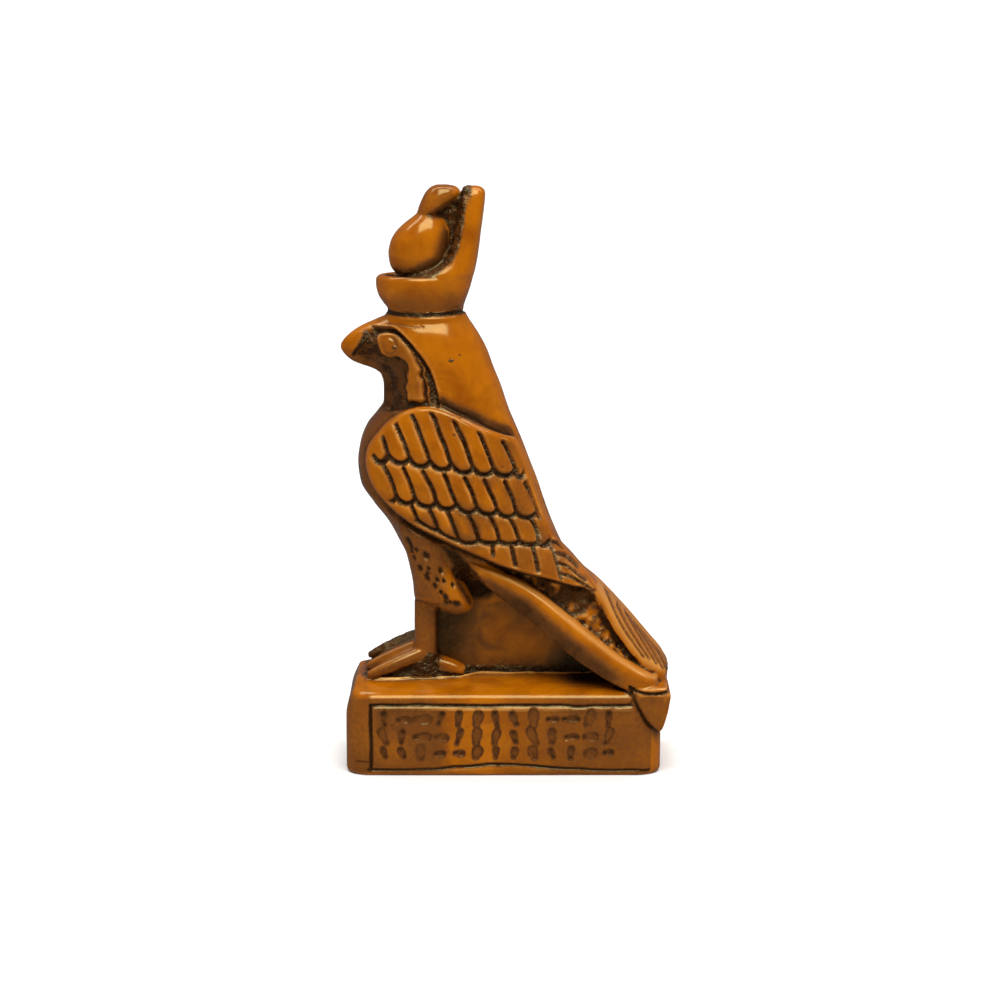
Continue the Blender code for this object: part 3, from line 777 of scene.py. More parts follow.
# %% Feather lines
FEATHER_LEAN = 0.42
FEATHER_LINE = 0.86
FEATHER_DEPTH = 0.62
PILLOW = 0.26
PILLOW_REACH = 1.7
ROWS = [
    {"x": -20.6, "step": 3.7, "count": 7, "foot": 55.7, "fall": 0.13, "top": 70.0, "top_fall": 0.0},
    {"x": -19.3, "step": 3.55, "count": 8, "foot": 48.7, "fall": 0.13, "top": 54.0, "top_fall": 0.14},
    {"x": -15.4, "step": 3.55, "count": 7, "foot": 41.6, "fall": 0.04, "top": 47.6, "top_fall": 0.14},
]
SCALLOP_POWER = 2.6
ROW_SAGS = (1.05, 0.95, 0.4)
ROW_LINE = 1.12
TOP_MARGIN = 1.0
BOTTOM_MARGIN = 1.5
SHORTEST_LINE = 0.8
TIP_LINES = [
    [(-2.6, 40.2), (-2.4, 38.6)],
    [(0.9, 40.3), (1.6, 36.6)],
    [(4.6, 40.3), (5.5, 35.8)],
]
top_edge = flowing(WING_TOP, 120)
bottom_edge = flowing(WING_BOTTOM[::-1], 120)


def row_lines(row):
    """The lines between one row's feathers. Each leans from its foot to its top and keeps off the rim."""
    lines = []
    for i in range(row["count"]):
        x = row["x"] + row["step"] * i
        lowest = np.interp(x, *bottom_edge.T) + BOTTOM_MARGIN
        foot = max(row["foot"] - row["fall"] * row["step"] * i, lowest)
        top = row["top"] - row["top_fall"] * row["step"] * i
        top_x = x
        for _ in range(4):
            top_x = x - FEATHER_LEAN * (min(top, np.interp(top_x, *top_edge.T) - TOP_MARGIN) - foot)
        top = min(top, np.interp(top_x, *top_edge.T) - TOP_MARGIN)
        if top > foot + SHORTEST_LINE:
            bow = (x + top_x) / 2 + 0.04 * (top - foot)
            lines.append(flowing([(top_x, top), (bow, (foot + top) / 2), (x, foot)], 8))
    return lines


def scallops(lines, sag):
    """The line under a row. From foot to foot it sags, flat in the middle and steep at the feet: the drop at
    t is sag * (1 - |2t - 1| ** SCALLOP_POWER)."""
    feet = np.array([path[-1] for path in lines])
    feet = np.vstack([feet[0] - (2.4, 0.4), feet, feet[-1] + (1.6, -0.3)])
    t = np.linspace(0, 1, 11)[:-1]
    drop = sag * (1 - np.abs(2 * t - 1) ** SCALLOP_POWER)
    spans = feet[:-1, None] + t[:, None] * (feet[1:] - feet[:-1])[:, None]
    spans[..., 1] -= drop
    return np.vstack([spans.reshape(-1, 2), feet[-1:]])


wing_depth = inside(flowing(WING_TOP + WING_BOTTOM, 200, closed=True), at=side_view)
on_wing = sideways * fade(wing_depth, 0.5, 0.9)
rows = [row_lines(row) for row in ROWS]
cut = np.full(len(place), FAR)
for path in sum(rows, []) + TIP_LINES:
    cut = np.minimum(cut, apart(path, 2.0) / FEATHER_LINE)
for lines, sag in zip(rows, ROW_SAGS):
    cut = np.minimum(cut, apart(scallops(lines, sag), 2.0) / ROW_LINE)
push -= PILLOW * np.clip(1 - cut / PILLOW_REACH, 0, 1) ** 2 * on_wing
push -= FEATHER_DEPTH * np.clip(1 - (cut / 0.5) ** 2, 0, 1) * on_wing
patchy = 0.72 + 0.5 * grain(place, 1.1, 9)
stain_and_shade(fade(-cut, -0.62, -0.22) * on_wing * patchy, THICK, 1.0)
# Film beside the cuts, heavier towards the wing's lower part as painted shade.
film = fade(-cut, -2.2, -0.5) * fade(grain(place, 2.6, 10), 0.3, 0.7)
low_wing_film_and_shade = 0.35 + 0.65 * fade(0.6 * at_x - at_z, -62.0, -48.0)
stain_and_shade(film * on_wing * low_wing_film_and_shade, 0.48, 0.0)
stain_and_shade(on_wing * fade(side_x, -8.0, 3.0) * uneven(0.4, 0.7, 3.2, 17), 0.38, 0.0)
print("feather lines:", sum(len(lines) for lines in rows) + len(TIP_LINES))

# %% [markdown]
# ## Barred tip and flight feathers
# Behind the rows the wing ends in a small barred field. Below it the long flight feathers lie together as a
# block with lines along the back's own contour, and beside them the shelf was left rough, with the grit of
# the mould still on it.

# %% Tip bars and flight feathers
BARS = [
    [(7.4, 40.3), (8.1, 38.7), (8.8, 36.6), (9.4, 34.4)],
    [(7.2, 40.4), (8.6, 39.9), (9.8, 38.9)],
    [(8.3, 38.6), (9.8, 38.0), (11.3, 36.8), (12.4, 35.8)],
    [(8.9, 37.0), (10.5, 36.3), (12.0, 35.2), (13.6, 33.8)],
    [(9.3, 35.3), (11.0, 34.6), (13.0, 33.4), (14.6, 32.3)],
]
BLOCK_EDGE = [
    (13.2, 36.4), (15.0, 32.6), (17.2, 28.4), (19.4, 24.4), (21.9, 20.9),
    (24.0, 18.6), (26.0, 17.8),
]
BAR_TOP = [(-3.0, 35.6), (3.3, 33.2), (8.7, 29.3), (13.7, 25.2), (18.6, 21.5), (22.7, 18.6), (26.0, 17.0)]
FLIGHT_LINES = [
    [(17.2, 31.4), (20.1, 25.6), (23.9, 20.1)],
    [(19.3, 28.6), (21.6, 24.6), (24.9, 19.7)],
    [(20.8, 27.2), (23.5, 23.0), (26.2, 18.8)],
    [(22.5, 25.2), (25.3, 21.2), (27.3, 17.9)],
    [(24.2, 23.5), (26.7, 20.0), (28.3, 17.0)],
]
on_tip = fade(turned_out, 0.05, 0.25) * fade(wing_depth, -0.2, 0.1)
for path in BARS:
    line(flowing(path, 10), 0.6, 0.42, 0.85, on_tip, side_view)
line(flowing(WING_TOP[15:], 30), 0.6, 0.4, 0.7, sideways)
on_tail = fade(at_z, 15.8, 16.6) * (1 - fade(wing_depth, -0.6, -0.2)) * fade(off_middle, 1.6, 3.2)
for path in FLIGHT_LINES:
    line(flowing(path, 12), 0.5, 0.26, 0.5, on_tail, side_view)
shelf = flowing(BLOCK_EDGE[1:], 40)
shelf = np.vstack([shelf, flowing(BAR_TOP[1:], 40)[::-1], [(-2.0, 36.0)], WING_BOTTOM[3:0:-1]])
on_shelf = fade(inside(shelf), 0.0, 0.5) * sideways * (1 - fade(wing_depth, -0.4, 0.0))
sink(on_shelf, 0.4, 0.0)
shelf_patches = 0.6 * grain(place, 2.2, 41) + 0.4 * grain(place, 0.8, 44)
stain_and_shade(on_shelf * fade(shelf_patches, 0.3, 0.56), 0.82)
# A painted sheen along the block's edge, and pale patches on the shelf that are worn and partly painted
# sheen.
sheen_strip_distance = apart(flowing(BLOCK_EDGE, 40) + (0.9, 0.5), 2.0, side_view)
wear_and_highlight = np.maximum(wear_and_highlight, 0.55 * fade(-sheen_strip_distance, -1.1, -0.3) * on_tail * (1 - on_shelf))
wear_and_highlight = np.maximum(wear_and_highlight, 0.5 * on_shelf * fade(grain(place, 0.9, 43), 0.55, 0.85))
push += on_shelf * ((grain(place, 1.3, 42) - 0.5) * 0.6 + (grain(place, 0.7, 45) - 0.5) * 0.45)

# %% [markdown]
# ## Head
# The hood's edge runs in front of the cheek; inside it the face is sunk and left gritty, and an eye patch
# stands up in it with a strap running down to the wing. The eye is a shallow oval ring with a pit. A dark
# line parts the beak from the face, and a broad soft hollow parts hood and wing.

# %% Head
FACE_EDGE = [
    (-24.6, 76.8), (-22.9, 77.5), (-20.3, 77.4), (-18.1, 76.3), (-15.5, 73.5),
    (-13.4, 70.4), (-12.4, 67.3), (-11.7, 64.3),
]
FACE_FRONT = [(-17.0, 63.4), (-23.5, 62.0), (-22.8, 67.5), (-24.8, 70.6), (-26.6, 71.9), (-25.5, 73.9)]
EYE_PATCH = [
    (-22.5, 75.9), (-20.8, 76.6), (-19.2, 76.2), (-17.3, 74.6), (-16.2, 72.6),
    (-15.3, 70.0), (-14.9, 67.3), (-14.5, 64.9), (-17.2, 64.9), (-17.2, 68.2),
    (-17.2, 70.9), (-17.9, 72.0), (-19.3, 72.5), (-20.8, 72.2), (-22.1, 73.3),
]
EYE_CENTRE = np.array([-20.3, 74.3])
EYE_SIZE = np.array([1.15, 1.45])
FACE_DEPTH = 1.0
FACE_BROWN = 0.76
PATCH_RISE = 0.85
HEM_DEPTH = 0.85
HEM_BREADTH = 1.9
HOOD_HEM = [(-12.0, 64.9), (-8.5, 63.2), (-5.4, 61.9), (-2.1, 60.1), (2.4, 58.2)]
on_head = sideways * fade(at_z, 62.0, 63.5) * (1 - fade(wing_depth, -0.5, 0.0))
face = fade(inside(np.vstack([flowing(FACE_EDGE, 50), FACE_FRONT])), -0.15, 0.45) * on_head
rough_edge = np.column_stack([grain(place, 1.1, 3) - 0.5, grain(place, 1.1, 4) - 0.5])
rough_edge = drawn + rough_edge * (0.3 + 0.5 * fade(-place[:, 2:3], -74.0, -69.0))
patch = fade(inside(flowing(EYE_PATCH, 90, closed=True), at=rough_edge), -0.3, 0.3) * on_head
sink(face, FACE_DEPTH, FACE_BROWN, 0.3)
before_beak = fade(side_z, 70.0, 72.5)
# Thick wash on the neck's front, the throat, before the eye and behind the strap.
neck_front = fade(-side_x, 18.6, 19.8) * fade(at_z, 61.5, 63.0) * fade(-at_z, -71.5, -69.5)
stain_and_shade(neck_front * uneven(0.7, 0.4, 1.3, 18), 0.92, 0.2)
throat = fade(-side_x, 15.0, 17.5) * fade(-at_z, -72.5, -71.0)
stain_and_shade(face * throat * uneven(0.55, 0.6, 1.2, 19), THICK, 0.8)
stain_and_shade(face * before_beak * uneven(0.7, 0.5, 0.9, 5), THICK, 1.0)
behind_strap = fade(side_x + 0.32 * (side_z - 64.0), -13.6, -12.8)
stain_and_shade(face * behind_strap * uneven(0.7, 0.5, 0.9, 6), THICK, 1.0)
# The patch and its strap stand up again, wiped nearly clean.
push += face * patch * PATCH_RISE
wash_and_shade *= 1 - patch * on_head
gritty *= 1 - patch * on_head
stain_and_shade(patch * on_head * uneven(0.5, 0.7, 1.4, 16), 0.3, 0.0)
line(flowing(FACE_EDGE[1:], 40) - (0.25, 0.25), 0.9, 1.15, 0.95, on_head)
RIDGE_IN_GROOVE = [(-15.6, 72.2), (-14.6, 70.2), (-13.9, 67.6), (-13.4, 64.8)]
thin_ridge = np.clip(1 - apart(flowing(RIDGE_IN_GROOVE, 20), 1.0, rough_edge) / 0.36, 0, 1) * on_head
push += 0.5 * thin_ridge
wash_and_shade *= 1 - 0.7 * thin_ridge
stain_and_shade(on_head * (1 - face) * fade(grain(place, 2.0, 12), 0.75, 0.95), 0.12, 0.0)
# Beak line, eye, and a pit in the hood.
line([(-24.5, 76.4), (-25.6, 73.9), (-26.7, 72.2)], 0.8, 0.5, 1.0, sideways)
eye_ring = np.linalg.norm((drawn - EYE_CENTRE) / EYE_SIZE, axis=1)
ring_cut = np.clip(1 - ((eye_ring - 1) / 0.28) ** 2, 0, 1) * on_head
push -= 0.16 * ring_cut
stain_and_shade(ring_cut * fade(drawn[:, 0], -20.6, -19.6), 0.5, 0.0)
stain_and_shade(ring_cut * fade(-drawn[:, 1], -74.0, -73.0), 0.5, 0.0)
push -= 0.1 * fade(-eye_ring, -0.9, -0.2) * on_head
pit = np.linalg.norm((drawn - (-19.5, 74.1)) / (0.4, 0.3), axis=1)
sink(fade(-pit, -1.3, -0.5) * on_head, 0.4, 0.9)
hood_pit = np.linalg.norm((side_view - (-9.6, 71.9)) / (0.5, 0.26), axis=1)
sink(fade(-hood_pit, -1.3, -0.4) * on_head, 0.25, 1.0)
# The hollow between hood and wing, steep below and fading out above.
hem = flowing(HOOD_HEM, 40)
hem_height = np.interp(side_x, hem[:, 0], hem[:, 1])
above = (side_z - hem_height) * 0.88
in_hem = fade(side_x, -12.6, -11.0) * sideways
band = np.clip(1 - above / HEM_BREADTH, 0, 1) * fade(above, -0.5, -0.1) * in_hem
push -= HEM_DEPTH * band**1.5
stain_and_shade(fade(band, 0.15, 0.7) * uneven(0.7, 0.4, 1.6, 15), DARK, 0.1)

# %% [markdown]
# ## Thighs
# The feathering of the thighs is a scatter of punched pits, denser towards the back. A seeded generator
# scatters them, so the figure is the same each time. A thin line parts thigh and shank.

# %% Thigh pits
chance = np.random.default_rng(11)
PITS = 22
PIT_START = np.array([-17.4, 40.6])
PIT_END = np.array([-7.9, 29.2])
PIT_SPREAD = 1.7
on_thigh = sideways * (at_z < 42.5) * (at_z > 27.0) * (wing_depth < -0.3)
along = (np.arange(PITS) + chance.uniform(0.1, 0.9, PITS)) / PITS
spread = chance.uniform(-1, 1, PITS) * PIT_SPREAD
across = np.array([0.73, 0.68])
sizes = chance.uniform(0.32, 0.6, PITS)
for share, aside, size in zip(along, spread, sizes):
    centre = PIT_START + share * (PIT_END - PIT_START) + aside * across
    away = (drawn - centre) @ np.array([(0.9, 0.44), (-0.44, 0.9)]).T
    pit = np.linalg.norm(away / (size, size * 1.6), axis=1)
    sink(fade(-pit, -1.4, -0.4) * on_thigh, 0.5, 1.0, 0.2)
line([(-16.8, 29.6), (-11.8, 29.4)], 0.45, 0.2, 0.7, (off_middle > 2.0) * 1.0)
print("pits on each thigh:", PITS)

# %% [markdown]
# ## Specks
# Small bubbles and dust left a few dark specks on the smooth faces.

# %% Specks
SPECKS = 18
speck_x = chance.uniform(-21.0, 20.0, SPECKS)
speck_z = chance.uniform(6.0, 78.0, SPECKS)
speck_size = chance.uniform(0.14, 0.26, SPECKS)
for x, z, size in zip(speck_x, speck_z, speck_size):
    nearby = (np.abs(side_x - x) < 2.0) & (np.abs(side_z - z) < 2.0)
    away = np.full(len(place), FAR)
    away[nearby] = np.linalg.norm((side_view[nearby] - (x, z)) / (1.5 * size, size), axis=1)
    sink(fade(-away, -1.4, -0.5) * sideways, 0.15, 0.8, 0.0)

# %% [markdown]
# ## Crown
# The cup's rim and the front of the tall plate catch the light as one bright line. Inside it the ground was
# left gritty and took the most wash.

# %% Crown carving
BULB_SIDE = [
    (-19.4, 86.2), (-20.7, 89.8), (-19.3, 93.4), (-16.0, 96.4), (-12.0, 96.2),
    (-10.0, 93.0), (-10.2, 88.5), (-12.5, 86.2),
]
ground_outline = [
    (-15.5, 84.5), (-14.0, 90.0), (-13.9, 95.8), (-12.6, 97.4), (-10.6, 98.6),
    (-9.6, 100.2), (-8.6, 101.2), (-5.0, 101.2), (-5.0, 84.5),
]
# The rough ground behind the bulb, and the inner wall of the plate.
behind_bulb = fade(inside(flowing(ground_outline, 60, closed=True)), -0.9, 0.5)
deep = behind_bulb * fade(-off_middle, -3.6, -2.4) * fade(-at_x, 5.6, 6.6)
deep *= fade(-facing_out[:, 0], -0.5, -0.2)
sparse = 0.62 + 0.6 * grain(place, 0.8, 53)
stain_and_shade(deep * sparse, THICK)
push += deep * (grain(place, 0.8, 51) - 0.5) * 0.6
PLATE_FRONT = [(-17.5, 86.0), (-13.6, 88.0), (-11.6, 90.0), (-10.3, 95.0), (-9.4, 101.0)]
behind = at_x - np.interp(at_z, *np.array(PLATE_FRONT)[:, ::-1].T)
inner_wall = fade(-facing_out[:, 0], 0.15, 0.5) * fade(behind, 0.0, 0.5) * fade(at_z, 86.0, 86.6)
stain_and_shade(inner_wall * sparse, THICK)
# Film on the ball, in the cup and on its outside. At the bulb's foot and back and under the ball the brown
# is painted shade over the wash.
on_ball = fade(at_z, 95.5, 97.0) * fade(-at_x, 8.8, 9.6)
stain_and_shade(on_ball * uneven(0.5, 0.6, 2.2, 54), 0.4, 0.0)
bulb_foot_shade = fade(-at_z + 0.45 * (at_x + 15.5), -89.2, -86.8) * fade(at_z, 85.5, 86.0)
on_bulb = inside(np.array(BULB_SIDE), at=side_view)
stain_and_shade(bulb_foot_shade * fade(on_bulb, -0.6, 0.2), DARK, 0.1)
bulb_back_shade = fade(at_x + 0.25 * (90.0 - at_z), -13.6, -10.6) * (at_x < -10.2)
stain_and_shade(bulb_back_shade * (on_bulb > -0.2) * (at_z > 86.0) * (at_z < 95.0), 0.8, 0.1)
ball_foot_shade = fade(-at_z + 0.5 * (at_x + 12.0), -98.6, -96.6) * fade(at_x, -14.5, -12.0)
stain_and_shade(ball_foot_shade * fade(at_z, 95.4, 96.4) * (at_x < -9.0), DARK, 0.1)
cup = np.abs((at_x + 14.4) / 7.6) ** 2 + (at_y / 6.4) ** 2
well = fade(at_z, 84.4, 85.0) * fade(-at_z, -88.4, -86.2) * fade(-cup, -0.93, -0.7)
stain_and_shade(well, THICK)
cup_film = fade(-at_z, -84.5, -80.6) * fade(at_z, 79.4, 80.0)
stain_and_shade(cup_film * uneven(0.6, 0.8, 2.4, 52), 0.42, 0.0)
line([(-21.5, 79.75), (-14.0, 79.6), (-7.0, 79.75)], 0.75, 0.2, 1.0, everywhere)
line([(-20.5, 78.0), (-16.5, 77.75), (-14.2, 77.7)], 0.5, 0.15, 0.3, everywhere)

# %% [markdown]
# ## Plinth
# Both long faces carry a frame of carved lines, and the near one holds rows of plain shallow strokes. Their
# leans, widths and lengths repeat in short cycles. Beside the frame the tail's tip folds over the edge.

# %% Plinth
PANEL_TOP = 12.6
PANEL_FRONT = -23.7
PANEL_BACK = 21.6
PANEL_SAG = [(-24.0, 0.9), (-14.7, 1.1), (-5.6, 1.8), (1.1, 2.0), (14.3, 1.1), (25.0, 0.8)]
STROKE_ROWS = [(10.0, 2.1), (6.8, 2.0), (4.0, 1.3)]
STROKE_START = -21.4
STROKE_PITCH = 3.25
STROKE_COUNT = 13
STROKE_LEANS = (0.0, 20.0, -14.0, 90.0, 4.0, -24.0, 90.0, 12.0)
STROKE_WIDTHS = (1.0, 1.5, 1.1, 1.3, 1.6, 1.0)
STROKE_LENGTHS = (1.0, 0.85, 1.15, 0.95)
FLAP_TOP = [(21.4, 15.6), (22.6, 15.1), (24.6, 14.6), (27.2, 14.8), (28.8, 15.8)]
FLAP_SIDE = [(21.4, 15.2), (22.5, 12.2), (24.4, 9.4), (26.2, 7.6)]
# The folded tip of the tail, and the curl beside it.
outer = fade(off_middle, 9.5, 10.5)
line(flowing(FLAP_TOP, 20), 0.75, 0.6, 0.8, outer)
CURL = [(20.6, 12.4), (21.5, 12.9), (21.8, 13.8), (20.9, 14.7), (18.5, 15.2)]
line(flowing(CURL, 20), 0.55, 0.35, 0.7, outer)
line(flowing(FLAP_SIDE, 20), 0.75, 0.4, 0.8, outer * (at_z > 7.0))
stain_and_shade(fade(-apart(flowing(FLAP_SIDE, 20), 3.0), -2.0, -0.3) * outer * (side_x > 22.0), 0.55, 0.0)
# The frame, with a raised lip under its top line that is painted pale as a highlight.
on_face = (off_middle > PLINTH_HALF_WIDTH - 0.9) * fade(turned_out, 0.5, 0.8)
on_face = on_face * (at_z < 14.0)
near_face = on_face * (at_y < 0)
panel_top = [(PANEL_FRONT, PANEL_TOP), (0.0, PANEL_TOP - 0.1), (PANEL_BACK, PANEL_TOP - 0.2)]
line(panel_top, 0.8, 0.5, 0.9, on_face * patchy)
under_line = apart(np.array(panel_top) - (0.0, 0.75), 1.0, side_view)
push += 0.22 * np.clip(1 - (under_line / 0.4) ** 2, 0, 1) * on_face
wear_and_highlight = np.maximum(wear_and_highlight, 0.6 * np.clip(1 - (under_line / 0.3) ** 2, 0, 1) * on_face)
line([(PANEL_FRONT, PANEL_TOP), (PANEL_FRONT + 0.1, 0.9)], 0.75, 0.5, 1.0, on_face)
line(flowing(PANEL_SAG, 40), 0.7, 0.45, 0.9, on_face)
line([(-29.0, 2.6), (PANEL_FRONT, 2.4)], 0.4, 0.25, 0.8, on_face)
# The strokes, thick at one end.
for row, (height, length) in enumerate(STROKE_ROWS):
    for i in range(STROKE_COUNT):
        lean = np.radians(STROKE_LEANS[(i * 3 + row * 5) % len(STROKE_LEANS)])
        width = STROKE_WIDTHS[(i * 2 + row * 3) % len(STROKE_WIDTHS)]
        middle = np.array([STROKE_START + STROKE_PITCH * i, height])
        run = np.array([np.sin(lean), np.cos(lean)]) * length / 2
        run *= STROKE_LENGTHS[(i + row * 2) % len(STROKE_LENGTHS)] * (0.9 if lean > 1 else 1.0)
        whole = apart([middle - run, middle + run], width + 1.0) + 0.16 * width
        distance = np.minimum(whole, apart([middle + 0.3 * run, middle + run], width + 1.0))
        sink(fade(-distance, -width / 2 - 0.22, -width / 2 + 0.22) * near_face, 0.32, 0.5, 0.3)
        stain_and_shade(np.clip(1 - ((distance - width / 2) / 0.3) ** 2, 0, 1) * near_face * patchy, 0.78, 0.3)
print("strokes:", STROKE_COUNT * len(STROKE_ROWS))

# %% [markdown]
# ## Ground and contact line
# Where the feet and the filling meet the plinth's top, a thin raised lip wanders round them and the ground
# inside it is gritty: the mould parted there.

# %% Ground
GROUND_HALF = [
    (-26.4, 0.0), (-25.4, 5.4), (-23.0, 8.2), (-19.0, 7.8), (-15.0, 7.2),
    (-8.6, 6.6), (-6.4, 5.6), (-5.0, 4.5), (14.0, 4.3), (20.0, 4.0),
]
LIP_HALF = 0.42
LIP_HEIGHT = 0.42
plan = place[:, :2] + np.column_stack([grain(place, 1.9, 7) - 0.5, grain(place, 1.9, 8) - 0.5]) * 1.3
ground = (np.abs(plan[:, 1]) - np.interp(plan[:, 0], *np.array(GROUND_HALF).T)) * 0.9
ground = np.maximum(ground, -25.4 - plan[:, 0])
on_top = fade(facing_out[:, 2], 0.45, 0.8) * (at_z > 14.8) * (at_z < 16.9)
lip = np.clip(1 - (ground / LIP_HALF) ** 2, 0, 1) * on_top
lip *= 1 - fade(-at_x, 23.4, 24.4)
push += LIP_HEIGHT * lip
stain_and_shade(fade(-ground, 0.1, 0.5) * on_top * uneven(0.75, 0.4, 1.0, 11), THICK)
stain_and_shade(fade(-ground, -1.6, 0.2) * on_top * uneven(0.5, 0.9, 1.8, 13), 0.42, 0.0)
# Shade where the tail's bars come down to the plinth.
bar_shade = fade(at_x, 8.5, 12.5) * fade(-at_x, -22.0, -20.5) * fade(-at_z, -18.5, -17.0)
stain_and_shade(bar_shade * fade(-off_middle, -11.5, -7.5) * (at_z > 14.5), 0.98, 0.1)
# Painted shade over the wash in the undercuts close to the ground.
near_ground_shade = fade(-at_z, -18.0, -16.7) * (at_z > 15.5) * fade(-ground, 0.2, 0.5)
stain_and_shade(near_ground_shade, THICK)
UNDER_TOES = [
    (-23.2, 15.6), (-20.0, 17.1), (-17.0, 18.3), (-14.8, 19.3), (-13.6, 20.8),
    (-11.8, 20.2), (-11.6, 17.6), (-7.6, 16.6), (-7.6, 15.6),
]
# Under and between the toes, and below the toe ridge: wash darkened further as painted shade.
toe_gap_shade = fade(inside(np.array(UNDER_TOES)), -0.2, 0.3) * (off_middle > 1.5) * (at_z > 15.6)
toe_gap_shade *= fade(-ground, -1.2, -0.7) * (1 - fade(ground, 0.0, 0.3) * (at_z < 16.4))
stain_and_shade(toe_gap_shade, THICK)
TOE_RIDGE = [(-24.5, 17.2), (-15.0, 21.8)]
below_ridge = np.interp(at_x, *np.array(TOE_RIDGE).T) - at_z
among_toes = (at_x < -15.8) * (at_x > -25.0) * (at_z < 23.0) * (at_z > 15.6)
stain_and_shade(fade(below_ridge, 0.5, 1.3) * among_toes * fade(-ground, 0.0, 0.3), 0.8)
stain_and_shade(among_toes * uneven(0.7, 0.5, 1.5, 14), 0.34, 0.0)
stain_and_shade(among_toes * fade(at_y, -3.6, -1.6) * uneven(0.75, 0.4, 1.1, 20), DARK, 0.8)
# The lip is wiped bare and painted pale as a highlight.
bare_lip_highlight = fade(lip, 0.25, 0.7)
wash_and_shade *= 1 - bare_lip_highlight
gritty *= 1 - bare_lip_highlight
wear_and_highlight = np.maximum(wear_and_highlight, bare_lip_highlight)

# %% Between thigh, wing, bar and filling
POCKET = [
    (-11.5, 40.0), (-9.6, 36.4), (-8.0, 32.6), (-6.2, 29.0), (-3.0, 29.8),
    (-1.7, 31.0), (-5.4, 34.8), (-8.5, 38.6),
]
FILLING_SHOWN = [
    (-13.0, 16.2), (-13.0, 29.5), (-6.0, 31.5), (-1.5, 32.3), (5.0, 27.3),
    (12.9, 20.6), (20.0, 16.2),
]
filling_depth = inside(np.array(FILLING_SHOWN))
# The pocket between thigh, wing and bar is sunk a little and darkened as painted shade.
pocket_shade = fade(inside(np.array(POCKET)), -1.2, 0.6) * (off_middle < 12.0) * (wing_depth < 0.3)
sink(pocket_shade * sideways, 0.3, 1.0)
on_filling = (off_middle < FILLING_HALF_WIDTH + 0.6) * fade(filling_depth, -0.3, 0.1)
filling_rim_shade = fade(-filling_depth, -2.4, -0.2)
# The filling is mottled. Its darkness at the rim, behind the shank and where it runs out under the tail is
# painted shade.
mottling = grain(place * (0.4, 1, 1), 1.9, 61) + 0.5 * grain(place * (0.5, 1, 1), 0.8, 64)
mottling = fade(mottling, 0.6, 1.12)
stain_and_shade(on_filling * np.maximum(0.95 * filling_rim_shade, 0.85 * mottling), 1.0, 0.1)
left_end_shade = fade(-side_x + 0.35 * (side_z - 24.0), 3.0, 9.5) * on_filling
stain_and_shade(left_end_shade * (0.8 + 0.3 * mottling), THICK, 0.1)
corner = fade(side_x + 0.5 * (24.0 - side_z), 7.0, 14.0) * on_filling
stain_and_shade(corner, 1.0, 0.2)
# Painted shade down the back of each shank.
shank_back_shade = fade(-np.abs(at_x + 12.0), -1.1, -0.4) * (at_z > 19.0) * (at_z < 29.0)
stain_and_shade(shank_back_shade, DARK, 0.1)

# %% Film and painted shade on the lower half and on undersides
# A thin film and painted shade over everything low that stands upright, but less on the thigh and the
# flight feathers.
low_film_and_shade = (1 - fade(at_z, 38.0, 54.0)) * fade(-np.abs(facing_out[:, 2]), -0.75, -0.3)
low_film_and_shade *= np.where(at_z < 16.2, 0.9 + 0.3 * fade(at_x, -14.0, 10.0), 1.1)
low_film_and_shade *= 1 - 0.95 * fade(at_x, -12.5, -9.0) * fade(-at_z, -38.0, -34.0)
low_film_and_shade *= 0.6 + 0.8 * grain(place, 5.0, 63)
outer_bar = (off_middle > 9.0) * fade(side_x, -6.0, -2.0) * fade(at_z, 15.5, 17.0)
low_film_and_shade *= (1 - outer_bar) * (1 - on_filling) * (wing_depth < -0.2)
block_front = np.interp(-side_z, -np.array(BLOCK_EDGE)[:, 1], np.array(BLOCK_EDGE)[:, 0])
on_block = fade(side_x - block_front, -0.2, 0.6) * fade(at_z, 16.5, 17.5) * (wing_depth < -0.2)
low_film_and_shade *= 1 - 0.75 * on_block
# The block of flight feathers is painted paler, as a sheen.
wear_and_highlight = np.maximum(wear_and_highlight, 0.3 * on_block * fade(at_z, 17.0, 20.0))
stain_and_shade(low_film_and_shade, 0.5, 0.0)
stain_and_shade(on_face * fade(at_x, -8.0, 12.0) * uneven(0.55, 0.5, 3.0, 66), 0.52, 0.0)
# The breast in front of the wing gets film, and whatever faces down is darkened as painted shade.
breast = fade(-wing_depth, 0.0, 0.5) * fade(-side_x, 15.0, 17.0) * fade(at_z, 30.0, 44.0)
stain_and_shade(breast * fade(-at_z, -64.5, -62.0) * uneven(0.7, 0.6, 3.0, 65), 0.6, 0.0)
stain_and_shade(fade(-facing_out[:, 2], 0.1, 0.75) * fade(at_z, 1.5, 4.0), 0.6, 0.0)
BAR_BOTTOM = [
    (-5.4, 34.8), (-1.6, 31.0), (5.0, 25.9), (9.4, 22.0), (13.4, 18.6),
    (18.0, 15.4), (24.0, 14.0),
]
# Each side bar has a painted highlight along its upper edge and painted shade below it.
bar_top = np.interp(side_x, *np.array(BAR_TOP).T)
bar_bottom = np.interp(side_x, *np.array(BAR_BOTTOM).T)
down_bar = (bar_top - side_z) / np.maximum(bar_top - bar_bottom, 1.0)
bar_lower_shade = fade(down_bar, 0.18, 0.62) * outer_bar * (1 - 0.6 * fade(at_x, 17.0, 21.0)) * (down_bar < 1.6)
stain_and_shade(bar_lower_shade * (0.8 + 0.3 * mottling), DARK, 0.0)
wear_and_highlight = np.maximum(wear_and_highlight, fade(-np.abs(down_bar - 0.06), -0.14, -0.02) * outer_bar * 0.5)
